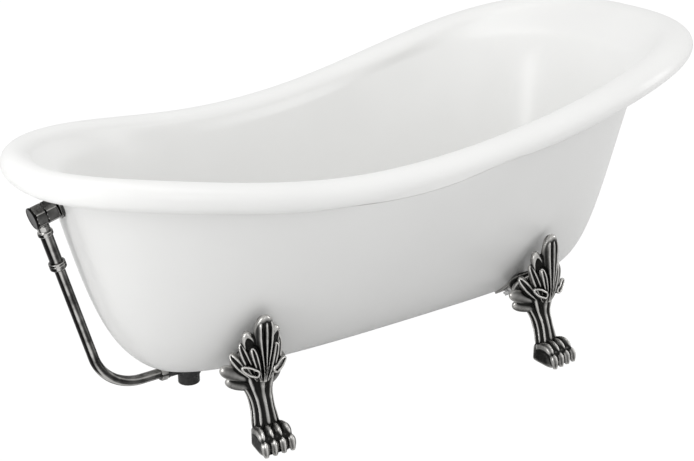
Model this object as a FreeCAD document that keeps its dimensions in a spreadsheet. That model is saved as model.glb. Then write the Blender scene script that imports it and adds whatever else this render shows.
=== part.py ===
import FreeCAD, Part
import math
import os

import Sketcher

# A single-slipper clawfoot bathtub.  A double-walled acrylic shell with a rolled rim stands on
# four cast paw feet; an exposed overflow pipe runs down the drain end to the waste under the tub.
#
# Frame, in millimetres: X runs from the drain end to the raised head end, Z is up, and the origin
# lies on the floor under the middle of the tub.  Y = 0 is the plane of symmetry.

Vector = FreeCAD.Vector

DIMENSIONS = (
    ("TubLength", 1700.0, "over the rolled rim"),
    ("RimHalfWidth", 366.7, "outer half width of the rim at mid-length"),
    ("PlanSwell", 0.2, "how much the plan widens towards the head end"),
    ("RimPower", 2.36, "superellipse power of the rim outline"),
    ("DrainRimHeight", 632.1, "rim above the floor at the drain end"),
    ("LowRimHeight", 571.5, "rim above the floor at its lowest"),
    ("HeadRimHeight", 732.5, "rim above the floor at the head end"),
    ("LowRimStation", -212.0, "where along X the rim is lowest"),
    ("RollHalfWidth", 38.0, "half the width of the rim roll at mid-length"),
    ("RollTaper", 0.18, "share by which the roll widens towards the head end"),
    ("RollHalfHeight", 29.9, "half the height of the rim roll"),
    ("BottomHeight", 114.6, "underside of the tub above the floor"),
    ("BottomDrain", 533.3, "flat underside towards the drain end"),
    ("BottomHead", 528.7, "flat underside towards the head end"),
    ("BottomHalfWidth", 113.9, "half width of the flat underside"),
    ("BasinWall", 7.0, "inner shell, acrylic with its glass-fibre backing"),
    ("SkirtWall", 6.0, "outer shell"),
    ("BoardThickness", 12.0, "stiffening board between the two floors"),
    ("PawWidth", 73.3, "over the toes of a paw"),
    ("PawDepth", 83.0, "front of the toes to the back of the heel"),
    ("CrestHeight", 297.4, "tip of the acanthus crest above the floor"),
    ("CrestInset", 67.7, "front of the crest behind the front of the toes"),
    ("DrainFootStation", 445.7, "drain-end paws from the middle, along X"),
    ("DrainFootReach", 304.6, "drain-end paw fronts from the plane of symmetry"),
    ("DrainFootTurn", -3.71, "degrees that a drain-end foot is turned from square"),
    ("DrainBoltInset", 178.0, "drain-end foot bolts behind the front of the toes"),
    ("HeadFootStation", 313.4, "head-end paws from the middle, along X"),
    ("HeadFootReach", 355.9, "head-end paw fronts from the plane of symmetry"),
    ("HeadFootTurn", 4.95, "degrees that a head-end foot is turned from square"),
    ("HeadBoltInset", 202.0, "head-end foot bolts behind the front of the toes"),
    ("FootPad", 11.0, "thickness of the casting's bolted pad"),
    ("FootBoltRadius", 5.0, "shank of a foot bolt"),
    ("GlideStudRadius", 6.0, "threaded stud of a levelling glide"),
    ("GlidePadRadius", 14.0, "pad of a levelling glide"),
    ("OverflowHeight", 527.0, "overflow hole above the floor, on the end wall"),
    ("OverflowHoleRadius", 15.0, "overflow hole in both shells"),
    ("BarrelRadius", 19.5, "overflow head, a short barrel"),
    ("BarrelLength", 61.0, "overflow head from the wall to its outer face"),
    ("NeckOffset", 45.0, "overflow pipe's centre line from the wall"),
    ("PipeRadius", 11.2, "overflow pipe"),
    ("PipeWall", 1.5, "wall of the overflow pipe and its sleeve"),
    ("SleeveLength", 72.0, "sleeve between the collar and the coupling"),
    ("PipeBendRadius", 110.0, "centre line of the large bend"),
    ("InletHeight", 97.0, "horizontal run of the overflow pipe above the floor"),
    ("WasteStation", 490.0, "waste hole from the middle, towards the drain end"),
    ("WasteHoleRadius", 24.5, "waste hole through both floors"),
    ("WasteTubeRadius", 22.0, "threaded tube of the waste flange"),
    ("SpigotRadius", 23.9, "threaded waste outlet"),
    ("StemRadius", 4.0, "stem of the drain stopper"),
    ("RunningGap", 0.06, "radial clearance of a sliding fit"),
    ("SeatGap", 0.3, "gap between pieces that only lie against each other"),
)


class Size:
    """A length that carries both its value and the sheet expression that gives it."""

    def __init__(self, value, text):
        self.value = value
        self.text = text

    @staticmethod
    def of(other):
        return other if isinstance(other, Size) else Size(float(other), f"{float(other)}")

    def __add__(self, other):
        other = Size.of(other)
        return Size(self.value + other.value, f"({self.text} + {other.text})")

    def __sub__(self, other):
        other = Size.of(other)
        return Size(self.value - other.value, f"({self.text} - {other.text})")

    def __mul__(self, factor):
        factor = Size.of(factor)
        return Size(self.value * factor.value, f"({self.text} * {factor.text})")

    def __radd__(self, other):
        return Size.of(other) + self

    def __rsub__(self, other):
        return Size.of(other) - self

    def __rmul__(self, other):
        return Size.of(other) * self

    def __neg__(self):
        return Size(-self.value, f"(0 - {self.text})")


document = FreeCAD.newDocument("ClawfootTub")
sheet = document.addObject("Spreadsheet::Sheet", "Dims")
for row, (alias, amount, note) in enumerate(DIMENSIONS, start=1):
    sheet.set(f"A{row}", alias)
    sheet.set(f"B{row}", f"{amount}")
    sheet.set(f"C{row}", note)
    sheet.setAlias(f"B{row}", alias)
document.recompute()


def size(alias):
    """The named cell as a Size."""
    return Size(float(sheet.get(alias)), f"Dims.{alias}")


def number(alias):
    """The named cell as a plain number."""
    return float(sheet.get(alias))


# --- sub-parts: bodies, sketches and features -------------------------------------------------

subparts = []


def new_body(label):
    """An empty body that becomes one sub-part."""
    body = document.addObject("PartDesign::Body", label)
    body.Label = label
    subparts.append(body)
    return body


def new_feature(label, shape, placement=None):
    """A sub-part whose shape is set directly."""
    feature = document.addObject("Part::Feature", label)
    feature.Label = label
    feature.Shape = shape
    feature.Placement = placement or FreeCAD.Placement()
    subparts.append(feature)
    return feature


def sketch_on(body, name, plane="XZ_Plane"):
    """A sketch on one of the body's own origin planes."""
    sketch = body.newObject("Sketcher::SketchObject", name)
    support = next(item for item in body.Origin.OriginFeatures if item.Role == plane)
    sketch.AttachmentSupport = [(support, "")]
    sketch.MapMode = "FlatFace"
    return sketch


def pin(sketch, geometry, vertex, x, y):
    """Fix one vertex at bound distances from the sketch's origin."""
    for axis, length in (("X", Size.of(x)), ("Y", Size.of(y))):
        rule = Sketcher.Constraint(f"Distance{axis}", -1, 1, geometry, vertex, length.value)
        index = sketch.addConstraint(rule)
        if "Dims" in length.text:
            sketch.setExpression(f"Constraints[{index}]", length.text)


def outline(sketch, corners):
    """Closed straight-sided outline through (x, y) pairs."""
    corners = [(Size.of(x), Size.of(y)) for x, y in corners]
    first = sketch.GeometryCount
    count = len(corners)
    for index in range(count):
        start = corners[index]
        end = corners[(index + 1) % count]
        line = Part.LineSegment(
            Vector(start[0].value, start[1].value, 0), Vector(end[0].value, end[1].value, 0)
        )
        sketch.addGeometry(line, False)
    for index in range(count):
        follower = first + (index + 1) % count
        sketch.addConstraint(Sketcher.Constraint("Coincident", first + index, 2, follower, 1))
    for index, (x, y) in enumerate(corners):
        pin(sketch, first + index, 1, x, y)


def circle(sketch, radius, x=0.0, y=0.0):
    """Circle with a bound radius and centre."""
    radius = Size.of(radius)
    middle = Vector(Size.of(x).value, Size.of(y).value, 0)
    index = sketch.addGeometry(Part.Circle(middle, Vector(0, 0, 1), radius.value), False)
    pin(sketch, index, 3, x, y)
    rule = sketch.addConstraint(Sketcher.Constraint("Radius", index, radius.value))
    if "Dims" in radius.text:
        sketch.setExpression(f"Constraints[{rule}]", radius.text)
    return index


def revolve(body, name, corners):
    """Turn an outline of (radius, height) pairs about the body's own Z axis."""
    sketch = sketch_on(body, f"{name}Profile")
    outline(sketch, corners)
    turn = body.newObject("PartDesign::Revolution", name)
    turn.Profile = sketch
    turn.ReferenceAxis = (sketch, ["V_Axis"])
    turn.Angle = 360.0
    sketch.Visibility = False
    return turn


def extrude(body, name, sketch, length, kind="PartDesign::Pad", **options):
    """Pad or pocket a sketch by a bound length."""
    feature = body.newObject(kind, name)
    feature.Profile = sketch
    length = Size.of(length)
    feature.Length = length.value
    if "Dims" in length.text:
        feature.setExpression("Length", length.text)
    for key, value in options.items():
        setattr(feature, key, value)
    return feature


def round_over(body, base, radius, chosen, kind="PartDesign::Fillet"):
    """Fillet or chamfer those edges of a feature that the chooser accepts."""
    document.recompute()
    names = [f"Edge{i}" for i, edge in enumerate(base.Shape.Edges, 1) if chosen(edge)]
    feature = body.newObject(kind, f"{base.Name}Rounded")
    feature.Base = (base, names)
    if kind.endswith("Fillet"):
        feature.Radius = radius
    else:
        feature.Size = radius
    return feature


def is_ring(edge):
    """True for a full circular edge."""
    return isinstance(edge.Curve, Part.Circle) and edge.isClosed()


def hexagon(sketch, across_flats):
    """Hexagon with a bound size across its flats, two of them square to sketch X."""
    half = Size.of(across_flats) * 0.5
    corner = half * (1.0 / math.cos(math.radians(30)))
    points = []
    for index in range(6):
        angle = math.radians(60 * index + 30)
        points.append((corner * math.cos(angle), corner * math.sin(angle)))
    outline(sketch, points)


# --- the shell's surfaces ---------------------------------------------------------------------

NOMINAL_LENGTH = 1700.0
HALF_LENGTH = number("TubLength") / 2
HALF_WIDTH = number("RimHalfWidth")
SWELL = number("PlanSwell")
ROLL_HEIGHT = number("RollHalfHeight")
RING_POINTS = 36
LENGTH_SCALE = number("TubLength") / NOMINAL_LENGTH


def signed_power(value, power):
    return math.copysign(abs(value) ** power, value)


def superellipse(angle, power):
    """Cosine and sine of the angle, squared up by the power of a superellipse."""
    exponent = 2.0 / power
    return signed_power(math.cos(angle), exponent), signed_power(math.sin(angle), exponent)


def ring_angles():
    """Angles that space the points of a ring about evenly."""
    exponent = 2.5 / 2
    for index in range(RING_POINTS):
        turn = 2 * math.pi * index / RING_POINTS
        across = signed_power(math.sin(turn), exponent)
        along = signed_power(math.cos(turn), exponent)
        yield math.atan2(across, along)


def swell(x):
    """The plan is a little wider towards the head end."""
    station = x / HALF_LENGTH
    return 1 + SWELL * station + SWELL * station**2


def rim_height(x):
    """The slipper curve: two eased rises from the rim's lowest station to its two ends."""
    low = number("LowRimHeight")
    station = number("LowRimStation") * LENGTH_SCALE
    if x > station:
        share = (x - station) / (HALF_LENGTH - station)
        rise = number("HeadRimHeight") - low
        ease = 0.90
    else:
        share = (station - x) / (HALF_LENGTH + station)
        rise = number("DrainRimHeight") - low
        ease = 0.97
    return low + rise * (1 - math.cos(math.pi * ease * share)) / (1 - math.cos(math.pi * ease))


def rim_point(angle):
    """Outermost line of the rim, in plan."""
    along, across = superellipse(angle, number("RimPower"))
    x = HALF_LENGTH * along
    return Vector(x, HALF_WIDTH * swell(x) * across, 0)


def plan_outward(angle):
    """Unit normal of the rim's outline, in plan."""
    step = 0.002
    tangent = rim_point(angle + step) - rim_point(angle - step)
    normal = Vector(tangent.y, -tangent.x, 0)
    return normal.normalize()


def blend(angle, drain, side, head):
    """A value that goes smoothly from the drain end to the sides to the head end."""
    along = math.cos(angle)
    end = drain if along < 0 else head
    return end * along**2 + side * (1 - along**2)


def side_weight(angle):
    """One at the middle of a long side, falling quickly towards both ends."""
    return math.sin(angle) ** 8


def roll_point(angle, turn, inset=0.0):
    """A point on the rolled rim: turn is 90 at its top, 0 outside and 180 inside."""
    edge = rim_point(angle)
    outward = plan_outward(angle)
    half = number("RollHalfWidth") * (1 + number("RollTaper") * edge.x / HALF_LENGTH)
    middle = edge - outward * half
    middle.z = rim_height(edge.x) - ROLL_HEIGHT
    turn = math.radians(turn)
    reach = (half - inset) * math.cos(turn)
    rise = (ROLL_HEIGHT - inset) * math.sin(turn)
    return middle + outward * reach + Vector(0, 0, rise)


def bezier(points, share):
    """Point on a cubic Bezier curve."""
    rest = 1 - share
    return (
        points[0] * rest**3
        + points[1] * (3 * rest**2 * share)
        + points[2] * (3 * rest * share**2)
        + points[3] * share**3
    )


def wall_curve(foot, top, reach, rise, lean):
    """Wall profile: level out of the floor, then up to the top with the given lean."""
    away = Vector(top.x - foot.x, top.y - foot.y, 0)
    away.normalize()
    return (foot, foot + away * reach, top - (away * lean + Vector(0, 0, 1)) * rise, top)


def skirt_curve(angle):
    """Profile of the outer wall at one angle, from the flat underside to the rim."""
    along, across = superellipse(angle, 2.86)
    drain = number("BottomDrain")
    head = number("BottomHead")
    x = (head - drain) / 2 + (head + drain) / 2 * along
    y = number("BottomHalfWidth") * (1 + 0.13 * x / HALF_LENGTH) * across
    foot = Vector(x, y, number("BottomHeight"))
    along, across = superellipse(angle, 2.18)
    drain = HALF_LENGTH - 79.3
    head = HALF_LENGTH - 128.2
    side = side_weight(angle)
    x = (head - drain) / 2 + (head + drain) / 2 * along
    y = (HALF_WIDTH - 21.7 + 18.5 * side) * swell(x) * across
    drop = 2 * ROLL_HEIGHT - 10 * side
    top = Vector(x, y, rim_height(rim_point(angle).x) - drop)
    reach = blend(angle, 148.7, 79.1, 157.4)
    rise = blend(angle, 189.9, 138.3, 241.3)
    lean = blend(angle, 0.30, 0.12, 0.37)
    return wall_curve(foot, top, reach, rise, lean)


FLOOR_TOP = (
    number("BottomHeight") + number("SkirtWall") + number("BoardThickness") + number("BasinWall")
)


def shoulder(angle):
    """Where on the roll the inner wall joins it, in degrees."""
    return blend(angle, 150.0, 165.0, 140.0)


def skirt_outward(angle):
    """Unit normal of the skirt's top edge, in plan."""
    step = 0.002
    along = skirt_curve(angle + step)[3] - skirt_curve(angle - step)[3]
    return Vector(along.y, -along.x, 0).normalize()


def throat(angle):
    """Top of the inner wall proper, just inside the skirt's top edge or below the roll."""
    top = skirt_curve(angle)[3]
    outward = skirt_outward(angle)
    behind_skirt = number("BasinWall") + number("SkirtWall") + 7.0
    below_roll = (top - roll_point(angle, shoulder(angle))).dot(outward) + 14.0
    soft = 7.0
    inset = soft * math.log(math.exp(behind_skirt / soft) + math.exp(below_roll / soft))
    point = top - outward * inset
    point.z = top.z + 2.0
    return point


def basin_curve(angle):
    """Profile of the inner wall at one angle, from the basin's floor to its throat."""
    along, across = superellipse(angle, 2.7)
    drain = number("BottomDrain") - 8.0
    head = number("BottomHead") - 40.0
    x = (head - drain) / 2 + (head + drain) / 2 * along
    y = (number("BottomHalfWidth") - 8.0) * (1 + 0.13 * x / HALF_LENGTH) * across
    foot = Vector(x, y, FLOOR_TOP)
    reach = blend(angle, 100.0, 72.0, 92.0)
    rise = blend(angle, 170.0, 150.0, 200.0)
    return wall_curve(foot, throat(angle), reach, rise, blend(angle, 0.30, 0.20, 0.34))


def flare_curve(angle):
    """From the throat of the inner wall out to the shoulder of the rim's roll."""
    start = throat(angle)
    turn = shoulder(angle)
    end = roll_point(angle, turn)
    before = roll_point(angle, turn + 1)
    height = end.z - start.z
    slope = basin_curve(angle)
    leaving = (slope[3] - slope[2]).normalize()
    arriving = (end - before).normalize()
    return (start, start + leaving * height * 0.4, end - arriving * height * 0.35, end)


def lip_turn(angle):
    """Where on the roll its outer face ends, in degrees: just outside the skirt's top edge."""
    edge = rim_point(angle)
    half = number("RollHalfWidth") * (1 + number("RollTaper") * edge.x / HALF_LENGTH)
    reach = (edge - skirt_curve(angle)[3]).dot(plan_outward(angle)) - 3.0
    return -math.degrees(math.acos(max(0.0, min(1.0, (half - reach) / half))))


def lip_points(angle):
    """The level underside of the rim's lip, which lies over the skirt's top edge."""
    top = skirt_curve(angle)[3]
    return [top, top - skirt_outward(angle) * number("SkirtWall")]


WALL_SHARES = (0.0, 0.07, 0.16, 0.27, 0.39, 0.52, 0.65, 0.77, 0.88, 1.0)
FLARE_SHARES = (0.35, 0.7)
ROLL_SHARES = (0.0, 0.14, 0.28, 0.42, 0.56, 0.7, 0.85, 1.0)


def basin_points(angle):
    """The inner shell's visible surface along one profile, from its floor to its lip."""
    curve = basin_curve(angle)
    points = [bezier(curve, share) for share in WALL_SHARES]
    flare = flare_curve(angle)
    points += [bezier(flare, share) for share in FLARE_SHARES]
    start = shoulder(angle)
    end = lip_turn(angle)
    points += [roll_point(angle, start + (end - start) * share) for share in ROLL_SHARES]
    return points + lip_points(angle)


def offset_profiles(maker, distance):
    """Profiles of a surface moved along its normals; the first row stays level."""
    step = 0.004
    rows = []
    for angle in ring_angles():
        line = maker(angle)
        before = maker(angle - step)
        after = maker(angle + step)
        row = []
        for index, point in enumerate(line):
            low = line[max(index - 1, 0)]
            high = line[min(index + 1, len(line) - 1)]
            normal = (after[index] - before[index]).cross(high - low)
            if index == 0:
                normal = Vector(0, 0, 1 if normal.z > 0 else -1)
            row.append(point + normal.normalize() * distance)
        rows.append(row)
    return rows


def ring_wire(points):
    """Smooth closed wire through the points."""
    curve = Part.BSplineCurve()
    count = len(points)
    spacing = [index / count for index in range(count + 1)]
    curve.interpolate(Points=points, PeriodicFlag=True, Parameters=spacing)
    return Part.Wire([curve.toShape()])


def rings_of(profiles):
    """Closed wires across a set of profiles, from the first row of points to the last."""
    return [ring_wire(list(points)) for points in zip(*profiles)]


def skin(rings, ruled=False):
    """Surface through closed wires."""
    return Part.makeLoft(rings, False, ruled).Faces


def moulded(rings, hidden=False):
    """The inner shell's skin: its wall, then its roll, then the narrow underside of its lip."""
    joint = len(WALL_SHARES) + len(FLARE_SHARES)
    roll = rings[joint:-2]
    faces = skin(rings[: joint + 1])
    if hidden:
        faces += skin(roll[:-1:2] + roll[-1:], ruled=True)
    else:
        faces += skin(roll)
    return faces + skin(rings[-3:-1], ruled=True) + skin(rings[-2:], ruled=True)


def closed_solid(faces):
    """One solid from the faces that bound it."""
    shell = Part.Shell(faces)
    shell.sewShape()
    solid = Part.Solid(shell)
    if solid.Volume < 0:
        solid.reverse()
    return solid


def level_face(ring):
    """Flat face inside a level closed wire."""
    return Part.Face(ring)


def inner_shell():
    """Basin, rolled rim and lip as one thin moulding."""
    front = rings_of([basin_points(angle) for angle in ring_angles()])
    back = rings_of(offset_profiles(basin_points, number("BasinWall")))
    faces = moulded(front) + moulded(back, hidden=True)
    faces += skin([front[-1], back[-1]], ruled=True)
    faces.append(level_face(front[0]))
    faces.append(level_face(back[0]))
    return closed_solid(faces)


SKIRT_SHARES = (0.0, 0.1, 0.2, 0.3, 0.42, 0.54, 0.66, 0.78, 0.89, 1.0)


def skirt_profile(angle):
    """The outer wall's visible surface along one profile, up to just below the rim's lip."""
    points = [bezier(skirt_curve(angle), share) for share in SKIRT_SHARES]
    points[-1] = points[-1] - Vector(0, 0, 2 * number("SeatGap"))
    return points


def outer_shell():
    """The outer wall with its flat underside; its top edge meets the rim's lip."""
    outside = [skirt_profile(angle) for angle in ring_angles()]
    inside = offset_profiles(skirt_profile, -number("SkirtWall"))
    for angle, line, row in zip(ring_angles(), outside, inside):
        row[-1] = line[-1] - skirt_outward(angle) * number("SkirtWall")
    front = rings_of(outside)
    back = rings_of(inside)
    faces = skin(front)
    faces += skin(back)
    faces += skin([front[-1], back[-1]], ruled=True)
    faces.append(level_face(front[0]))
    faces.append(level_face(back[0]))
    return closed_solid(faces)


# --- the two shells and the board between them ------------------------------------------------

SEAT = number("SeatGap")
BOTTOM = number("BottomHeight")
UP = Vector(0, 0, 1)


def filled(maker, distance):
    """Everything inside a wall, moved out by a distance and carried straight up past the rim."""
    rows = offset_profiles(maker, distance)
    rings = rings_of(rows)
    lid = ring_wire([Vector(row[-1].x, row[-1].y, number("HeadRimHeight") + 60) for row in rows])
    faces = skin(rings) + skin([rings[-1], lid], ruled=True)
    faces += [level_face(rings[0]), level_face(lid)]
    return closed_solid(faces)


def hull(distance):
    """The outer wall filled, and moved out by a distance."""
    return filled(skirt_profile, distance)


def wall_points(angle):
    """The basin's wall alone, up to its throat."""
    return basin_points(angle)[: len(WALL_SHARES)]


def rod(radius, start, direction, length):
    """Plain cylinder from a point along a direction."""
    return Part.makeCylinder(radius, length, start, direction)


def axes(origin, z_axis, x_axis):
    """Placement that turns a body's own Z and X axes to two square directions."""
    turn = FreeCAD.Rotation(x_axis, z_axis.cross(x_axis), z_axis, "ZXY")
    return FreeCAD.Placement(origin, turn)


def curve_share(curve, test):
    """Where along a profile a rising measure passes zero."""
    low = 0.0
    high = 1.0
    for _ in range(40):
        middle = (low + high) / 2
        if test(bezier(curve, middle)) < 0:
            low = middle
        else:
            high = middle
    return low


def slope_at(curve, share):
    """Unit tangent of a profile."""
    return (bezier(curve, share + 0.01) - bezier(curve, share - 0.01)).normalize()


end_wall = skirt_curve(math.pi)
outer_share = curve_share(end_wall, lambda point: point.z - number("OverflowHeight"))
overflow_point = bezier(end_wall, outer_share)
tangent = slope_at(end_wall, outer_share)
OUTWARD = Vector(-tangent.z, 0, tangent.x)
DOWN = tangent * -1
inner_wall = basin_curve(math.pi)
inner_share = curve_share(inner_wall, lambda point: (point - overflow_point).dot(tangent))
OVERFLOW_GAP = (overflow_point - bezier(inner_wall, inner_share)).dot(OUTWARD)

waste_axis = Vector(-number("WasteStation"), 0, 0)
waste_bore = rod(number("WasteHoleRadius"), waste_axis, UP, FLOOR_TOP + 30)
overflow_start = overflow_point - OUTWARD * (OVERFLOW_GAP + 40)
overflow_bore = rod(number("OverflowHoleRadius"), overflow_start, OUTWARD, OVERFLOW_GAP + 80)

basin = inner_shell().cut(waste_bore).cut(overflow_bore)
new_feature("inner_basin", basin)

board = new_body("base_board")
board_sketch = sketch_on(board, "BoardOutline", "XY_Plane")
board_half = size("BottomHalfWidth") - 30
board_ends = size("BottomDrain") - 33
outline(
    board_sketch,
    [
        (-board_ends, -board_half),
        (board_ends, -board_half),
        (board_ends, board_half),
        (-board_ends, board_half),
    ],
)
board_pad = extrude(board, "BoardPad", board_sketch, size("BoardThickness"))
round_over(board, board_pad, 68.0, lambda edge: abs(edge.tangentAt(0).z) > 0.9)
board_hole = sketch_on(board, "BoardHole", "XY_Plane")
circle(board_hole, size("WasteHoleRadius") + 4, -size("WasteStation"), 0)
extrude(board, "BoardBore", board_hole, size("BoardThickness"), "PartDesign::Pocket", Reversed=True)
board.Placement.Base = Vector(0, 0, BOTTOM + number("SkirtWall"))

# --- the claw feet ----------------------------------------------------------------------------
#
# A foot is drawn in its own frame: X along the tub, Y towards the tub, Z up, with the origin on
# the floor under the front of the middle toes.

PAW_HALF = number("PawWidth") / 2
PAW_DEPTH = number("PawDepth")
CREST = number("CrestHeight")
CREST_Y = number("CrestInset")
CREST_SCALE = CREST / 297.4
SCROLL_RADIUS = 7.8


def section(middle, half_depth, half_width):
    """Corners of a level, rounded, eight-sided section of the leg."""
    points = []
    for index in range(8):
        along, across = superellipse(math.pi * (index + 0.5) / 4, 2.4)
        points.append(middle + Vector(half_width * along, half_depth * across, 0))
    return points


def flat_face(points):
    """Flat face inside a closed line through the points."""
    return Part.Face(Part.makePolygon(points + points[:1]))


def is_flat(a, b, c, d):
    """True where four corners lie in one plane."""
    return abs((b - a).cross(c - a).dot(d - a)) < 1e-6


def faceted(rings):
    """Solid through closed lines of corners, with flat faces: four-sided where they can be."""
    faces = [flat_face(rings[0]), flat_face(rings[-1])]
    for low, high in zip(rings, rings[1:]):
        for index in range(len(low)):
            after = (index + 1) % len(low)
            corners = [low[index], low[after], high[after], high[index]]
            if is_flat(*corners):
                faces.append(flat_face(corners))
            else:
                faces.append(flat_face(corners[:3]))
                faces.append(flat_face([corners[0], corners[2], corners[3]]))
    return closed_solid(faces)


# Centre line, half depth, half width and height of each section of the leg.
LEG_SECTIONS = (
    (54, 26, 26, 6),
    (59, 27, 24, 42),
    (74, 24, 19.5, 82),
    (80, 27, 22.5, 114),
    (93, 37, 34, 132),
    (113, 52, 52, 146),
    (134, 68, 66, 170),
    (131, 62, 42, 218),
    (122, 50, 21, 262),
)


def leg():
    """Ankle and shoulder, from inside the paw up to the back of the leaves, in flat facets."""
    rings = []
    for y, half_depth, half_width, z in LEG_SECTIONS:
        rings.append(section(Vector(0, y, z * CREST_SCALE), half_depth, half_width))
    return faceted(rings)


def toe(lateral, turn):
    """One toe, two knuckles and a blunt claw: a faceted side profile narrowed at both flanks."""
    profile = (
        (0, 0),
        (PAW_DEPTH * 0.75, 0),
        (PAW_DEPTH * 0.75, 38),
        (47, 46),
        (34, 52),
        (25, 43),
        (12, 41),
        (6, 30),
        (8, 20),
        (1, 13),
    )
    half = PAW_HALF * 0.212
    rings = []
    for share, drop in ((-1, 3.6), (0, 0), (1, 3.6)):
        points = []
        for y, z in profile:
            slack = drop if z > 0 else 0
            points.append(Vector(half * share, y + drop * (y < 40), max(z - slack, 0)))
        rings.append(points)
    solid = faceted(rings)
    solid.rotate(Vector(0, PAW_DEPTH, 0), UP, turn)
    solid.translate(Vector(lateral, 0, 0))
    return solid


def paw():
    """Heel block and four spread toes."""
    half_outline = (
        (0.94, 12),
        (0.86, PAW_DEPTH * 0.5),
        (0.66, PAW_DEPTH - 6),
        (0.48, PAW_DEPTH),
    )
    corners = [Vector(PAW_HALF * share, y, 0) for share, y in half_outline]
    corners += [Vector(-PAW_HALF * share, y, 0) for share, y in reversed(half_outline)]
    heel = flat_face(corners).extrude(Vector(0, 0, 37))
    toes = []
    for index in range(4):
        side = index - 1.5
        toes.append(toe(side * PAW_HALF * 0.46, side * 3.0))
    return [heel] + toes


def tongue(root, tip, half_width, thickness, face):
    """A round-ended leaf lobe from root to tip, six-sided, its broad side towards face."""
    run = tip - root
    broad = run.cross(face).normalize()
    out = broad.cross(run).normalize()
    rings = []
    for share, spread in ((0, 0.6), (0.74, 1.0), (0.93, 0.82), (1, 0.45)):
        middle = root + run * share
        points = []
        for index in range(6):
            along, across = superellipse(math.pi * index / 3, 2.3)
            reach = broad * (half_width * along) + out * (thickness / 2 * across)
            points.append(middle + reach * spread)
        rings.append(points)
    return faceted(rings)


def acanthus():
    """The leaves: a ribbed crest, two flanking pairs, side leaves, lower lobes and scrolls."""
    top = CREST
    front = Vector(0, -1, 0)
    half_thick = 13
    crest_line = CREST_Y + half_thick
    pieces = [
        tongue(Vector(0, crest_line - 7, top - 152), Vector(0, crest_line, top), 17.5, 26, front)
    ]
    for side in (-1, 0, 1):
        root = Vector(side * 6, CREST_Y - 5, top - 140)
        tip = Vector(side * 10, CREST_Y + 0.5, top - 14 - 5 * abs(side))
        pieces.append(tongue(root, tip, 4.2, 9, front))
    for side in (-1, 1):
        lean = Vector(side * 0.35, -1, 0)
        lobes = (
            ((12, 74, -132), (36, 84, -39), 16.5, 34, lean),
            ((16, 78, -140), (55, 93, -76), 16.5, 38, lean),
            ((16, 94, -150), (81, 126, -124), 15.5, 36, Vector(side * 0.5, -1, 0.2)),
            ((14, 96, -166), (66, 126, -146), 14.5, 34, Vector(side * 0.4, -1, -0.4)),
        )
        for (x1, y1, z1), (x2, y2, z2), half_width, thickness, face in lobes:
            root = Vector(side * x1, y1, top + z1)
            tip = Vector(side * x2, y2, top + z2)
            pieces.append(tongue(root, tip, half_width, thickness, face))
        scroll = Vector(side * 29, CREST_Y - 11, top - 120)
        corners = []
        for index in range(8):
            angle = math.pi * (index + 0.5) / 4
            corners.append(scroll + Vector(math.cos(angle), 0, math.sin(angle)) * SCROLL_RADIUS)
        pieces.append(flat_face(corners).extrude(Vector(0, 26, 0)))
    return pieces


raw_foot = leg().multiFuse(paw() + acanthus())

# Each paw carries a levelling glide on a stud; a bolt through the casting's pad and the outer
# shell is screwed into a plate that lies inside the shell.

GLIDE_Y = PAW_DEPTH * 0.52
GLIDE_PAD = 6.0
PAD_RECESS = 8.0
STUD_LENGTH = 30.0
FLOOR_GAP = 1.0
RUN = number("RunningGap")
sole = Vector(0, GLIDE_Y, -1)
stud_bore = rod(number("GlideStudRadius") + RUN, sole, UP, PAD_RECESS + STUD_LENGTH + 8)
pad_recess = rod(number("GlidePadRadius") + 2 * SEAT, sole, UP, PAD_RECESS + 1)
raw_foot = raw_foot.cut(stud_bore).cut(pad_recess)

PLATE = 7.0
PLATE_SIDE = 42.0
PAD_WIDTH = 50.0
SPOT_DEPTH = 1.5
WASHER = 2.0
WASHER_RADIUS = 11.0
BOLT_HEAD = 6.5
BOLT_HEAD_CORNER = 9.8
BOLT_REACH = 14.0
SHANK = number("FootBoltRadius")
near_skin = hull(SEAT)
pad_skin = hull(number("FootPad"))
plate_outer = hull(-number("SkirtWall") - SEAT)
plate_inner = hull(-number("SkirtWall") - SEAT - PLATE)
pad_shell = pad_skin.cut(near_skin)
plate_shell = plate_outer.cut(plate_inner)


def wall_below(place, y):
    """Point and outward normal of the tub's wall over a foot's own line, from a probe upwards."""
    def height(x, depth):
        base = place.multVec(Vector(x, depth, 0))
        probe = Part.makeLine(base, base + UP * 400)
        hits = near_skin.common(probe)
        return place.inverse().multVec(hits.Vertexes[0].Point).z if hits.Vertexes else 400.0

    middle = height(0, y)
    step = 3.0
    across = Vector(2 * step, 0, height(step, y) - height(-step, y))
    along = Vector(0, 2 * step, height(0, y + step) - height(0, y - step))
    return Vector(0, y, middle), along.cross(across).normalize()


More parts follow.
